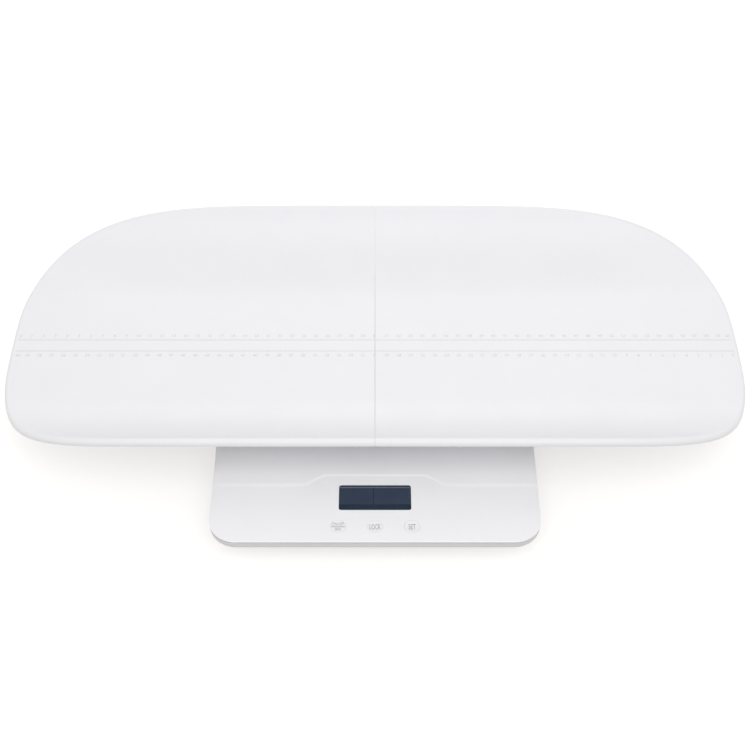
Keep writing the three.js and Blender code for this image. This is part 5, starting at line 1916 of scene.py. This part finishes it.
class SCALE_OT_shell(Operator):
    """Makes the lower shell of the base"""

    bl_idname = "scale.shell"
    bl_label = "Lower shell"

    def execute(self, context):
        make_shell(context)
        return {"FINISHED"}


class SCALE_OT_door(Operator):
    """Makes the battery door with its tongues, grip ridges and arrow"""

    bl_idname = "scale.door"
    bl_label = "Battery door"

    def execute(self, context):
        make_door(context)
        return {"FINISHED"}


class SCALE_OT_window(Operator):
    """Makes the dark window over the display"""

    bl_idname = "scale.window"
    bl_label = "Display window"

    def execute(self, context):
        make_window(context)
        return {"FINISHED"}


class SCALE_OT_keys(Operator):
    """Makes the three dished keys and their words"""

    bl_idname = "scale.keys"
    bl_label = "Keys"

    def execute(self, context):
        make_keys(context)
        return {"FINISHED"}


class SCALE_OT_feet(Operator):
    """Makes the four feet and their rubber pads"""

    bl_idname = "scale.feet"
    bl_label = "Feet and pads"

    def execute(self, context):
        make_feet(context)
        return {"FINISHED"}


class SCALE_OT_screws(Operator):
    """Makes the six screws that close the base"""

    bl_idname = "scale.screws"
    bl_label = "Case screws"

    def execute(self, context):
        make_screws(context)
        return {"FINISHED"}


class SCALE_OT_inner_finishes(Operator):
    """Gives the board, load cells, cells, contacts and leads their finishes"""

    bl_idname = "scale.inner_finishes"
    bl_label = "Inner finishes"

    def execute(self, context):
        make_inner_finishes(context)
        return {"FINISHED"}


OPERATORS = (
    SCALE_OT_stage,
    SCALE_OT_tray,
    SCALE_OT_ruler,
    SCALE_OT_cover,
    SCALE_OT_shell,
    SCALE_OT_door,
    SCALE_OT_window,
    SCALE_OT_keys,
    SCALE_OT_feet,
    SCALE_OT_screws,
    SCALE_OT_inner_finishes,
)

SETTINGS = {
    "scale_tray": ScaleTraySizes,
    "scale_ruler": ScaleRulerSizes,
    "scale_base": ScaleBaseSizes,
    "scale_display": ScaleDisplaySizes,
    "scale_under": ScaleUnderSizes,
    "scale_colours": ScaleColours,
    "scale_inner": ScaleInnerColours,
    "scale_stage": ScaleStage,
}


class SCALE_PT_pieces(Panel):
    """Lists the pieces of the scale and their settings"""

    bl_label = "Baby weighing scale"
    bl_idname = "SCALE_PT_pieces"
    bl_space_type = "VIEW_3D"
    bl_region_type = "UI"
    bl_category = "Scale"

    def draw(self, context):
        for operator in OPERATORS:
            self.layout.operator(operator.bl_idname)
        for name, group in SETTINGS.items():
            settings = getattr(context.scene, name)
            box = self.layout.box()
            for key in group.__annotations__:
                box.prop(settings, key)


def register():
    for kind in (*SETTINGS.values(), *OPERATORS, SCALE_PT_pieces):
        bpy.utils.register_class(kind)
    for name, group in SETTINGS.items():
        setattr(bpy.types.Scene, name, PointerProperty(type=group))


def unregister():
    for name in SETTINGS:
        delattr(bpy.types.Scene, name)
    for kind in reversed((*SETTINGS.values(), *OPERATORS, SCALE_PT_pieces)):
        bpy.utils.unregister_class(kind)


def main():
    register()
    for operator in OPERATORS:
        getattr(bpy.ops.scale, operator.bl_idname.split(".")[1])()


if __name__ == "__main__":
    main()
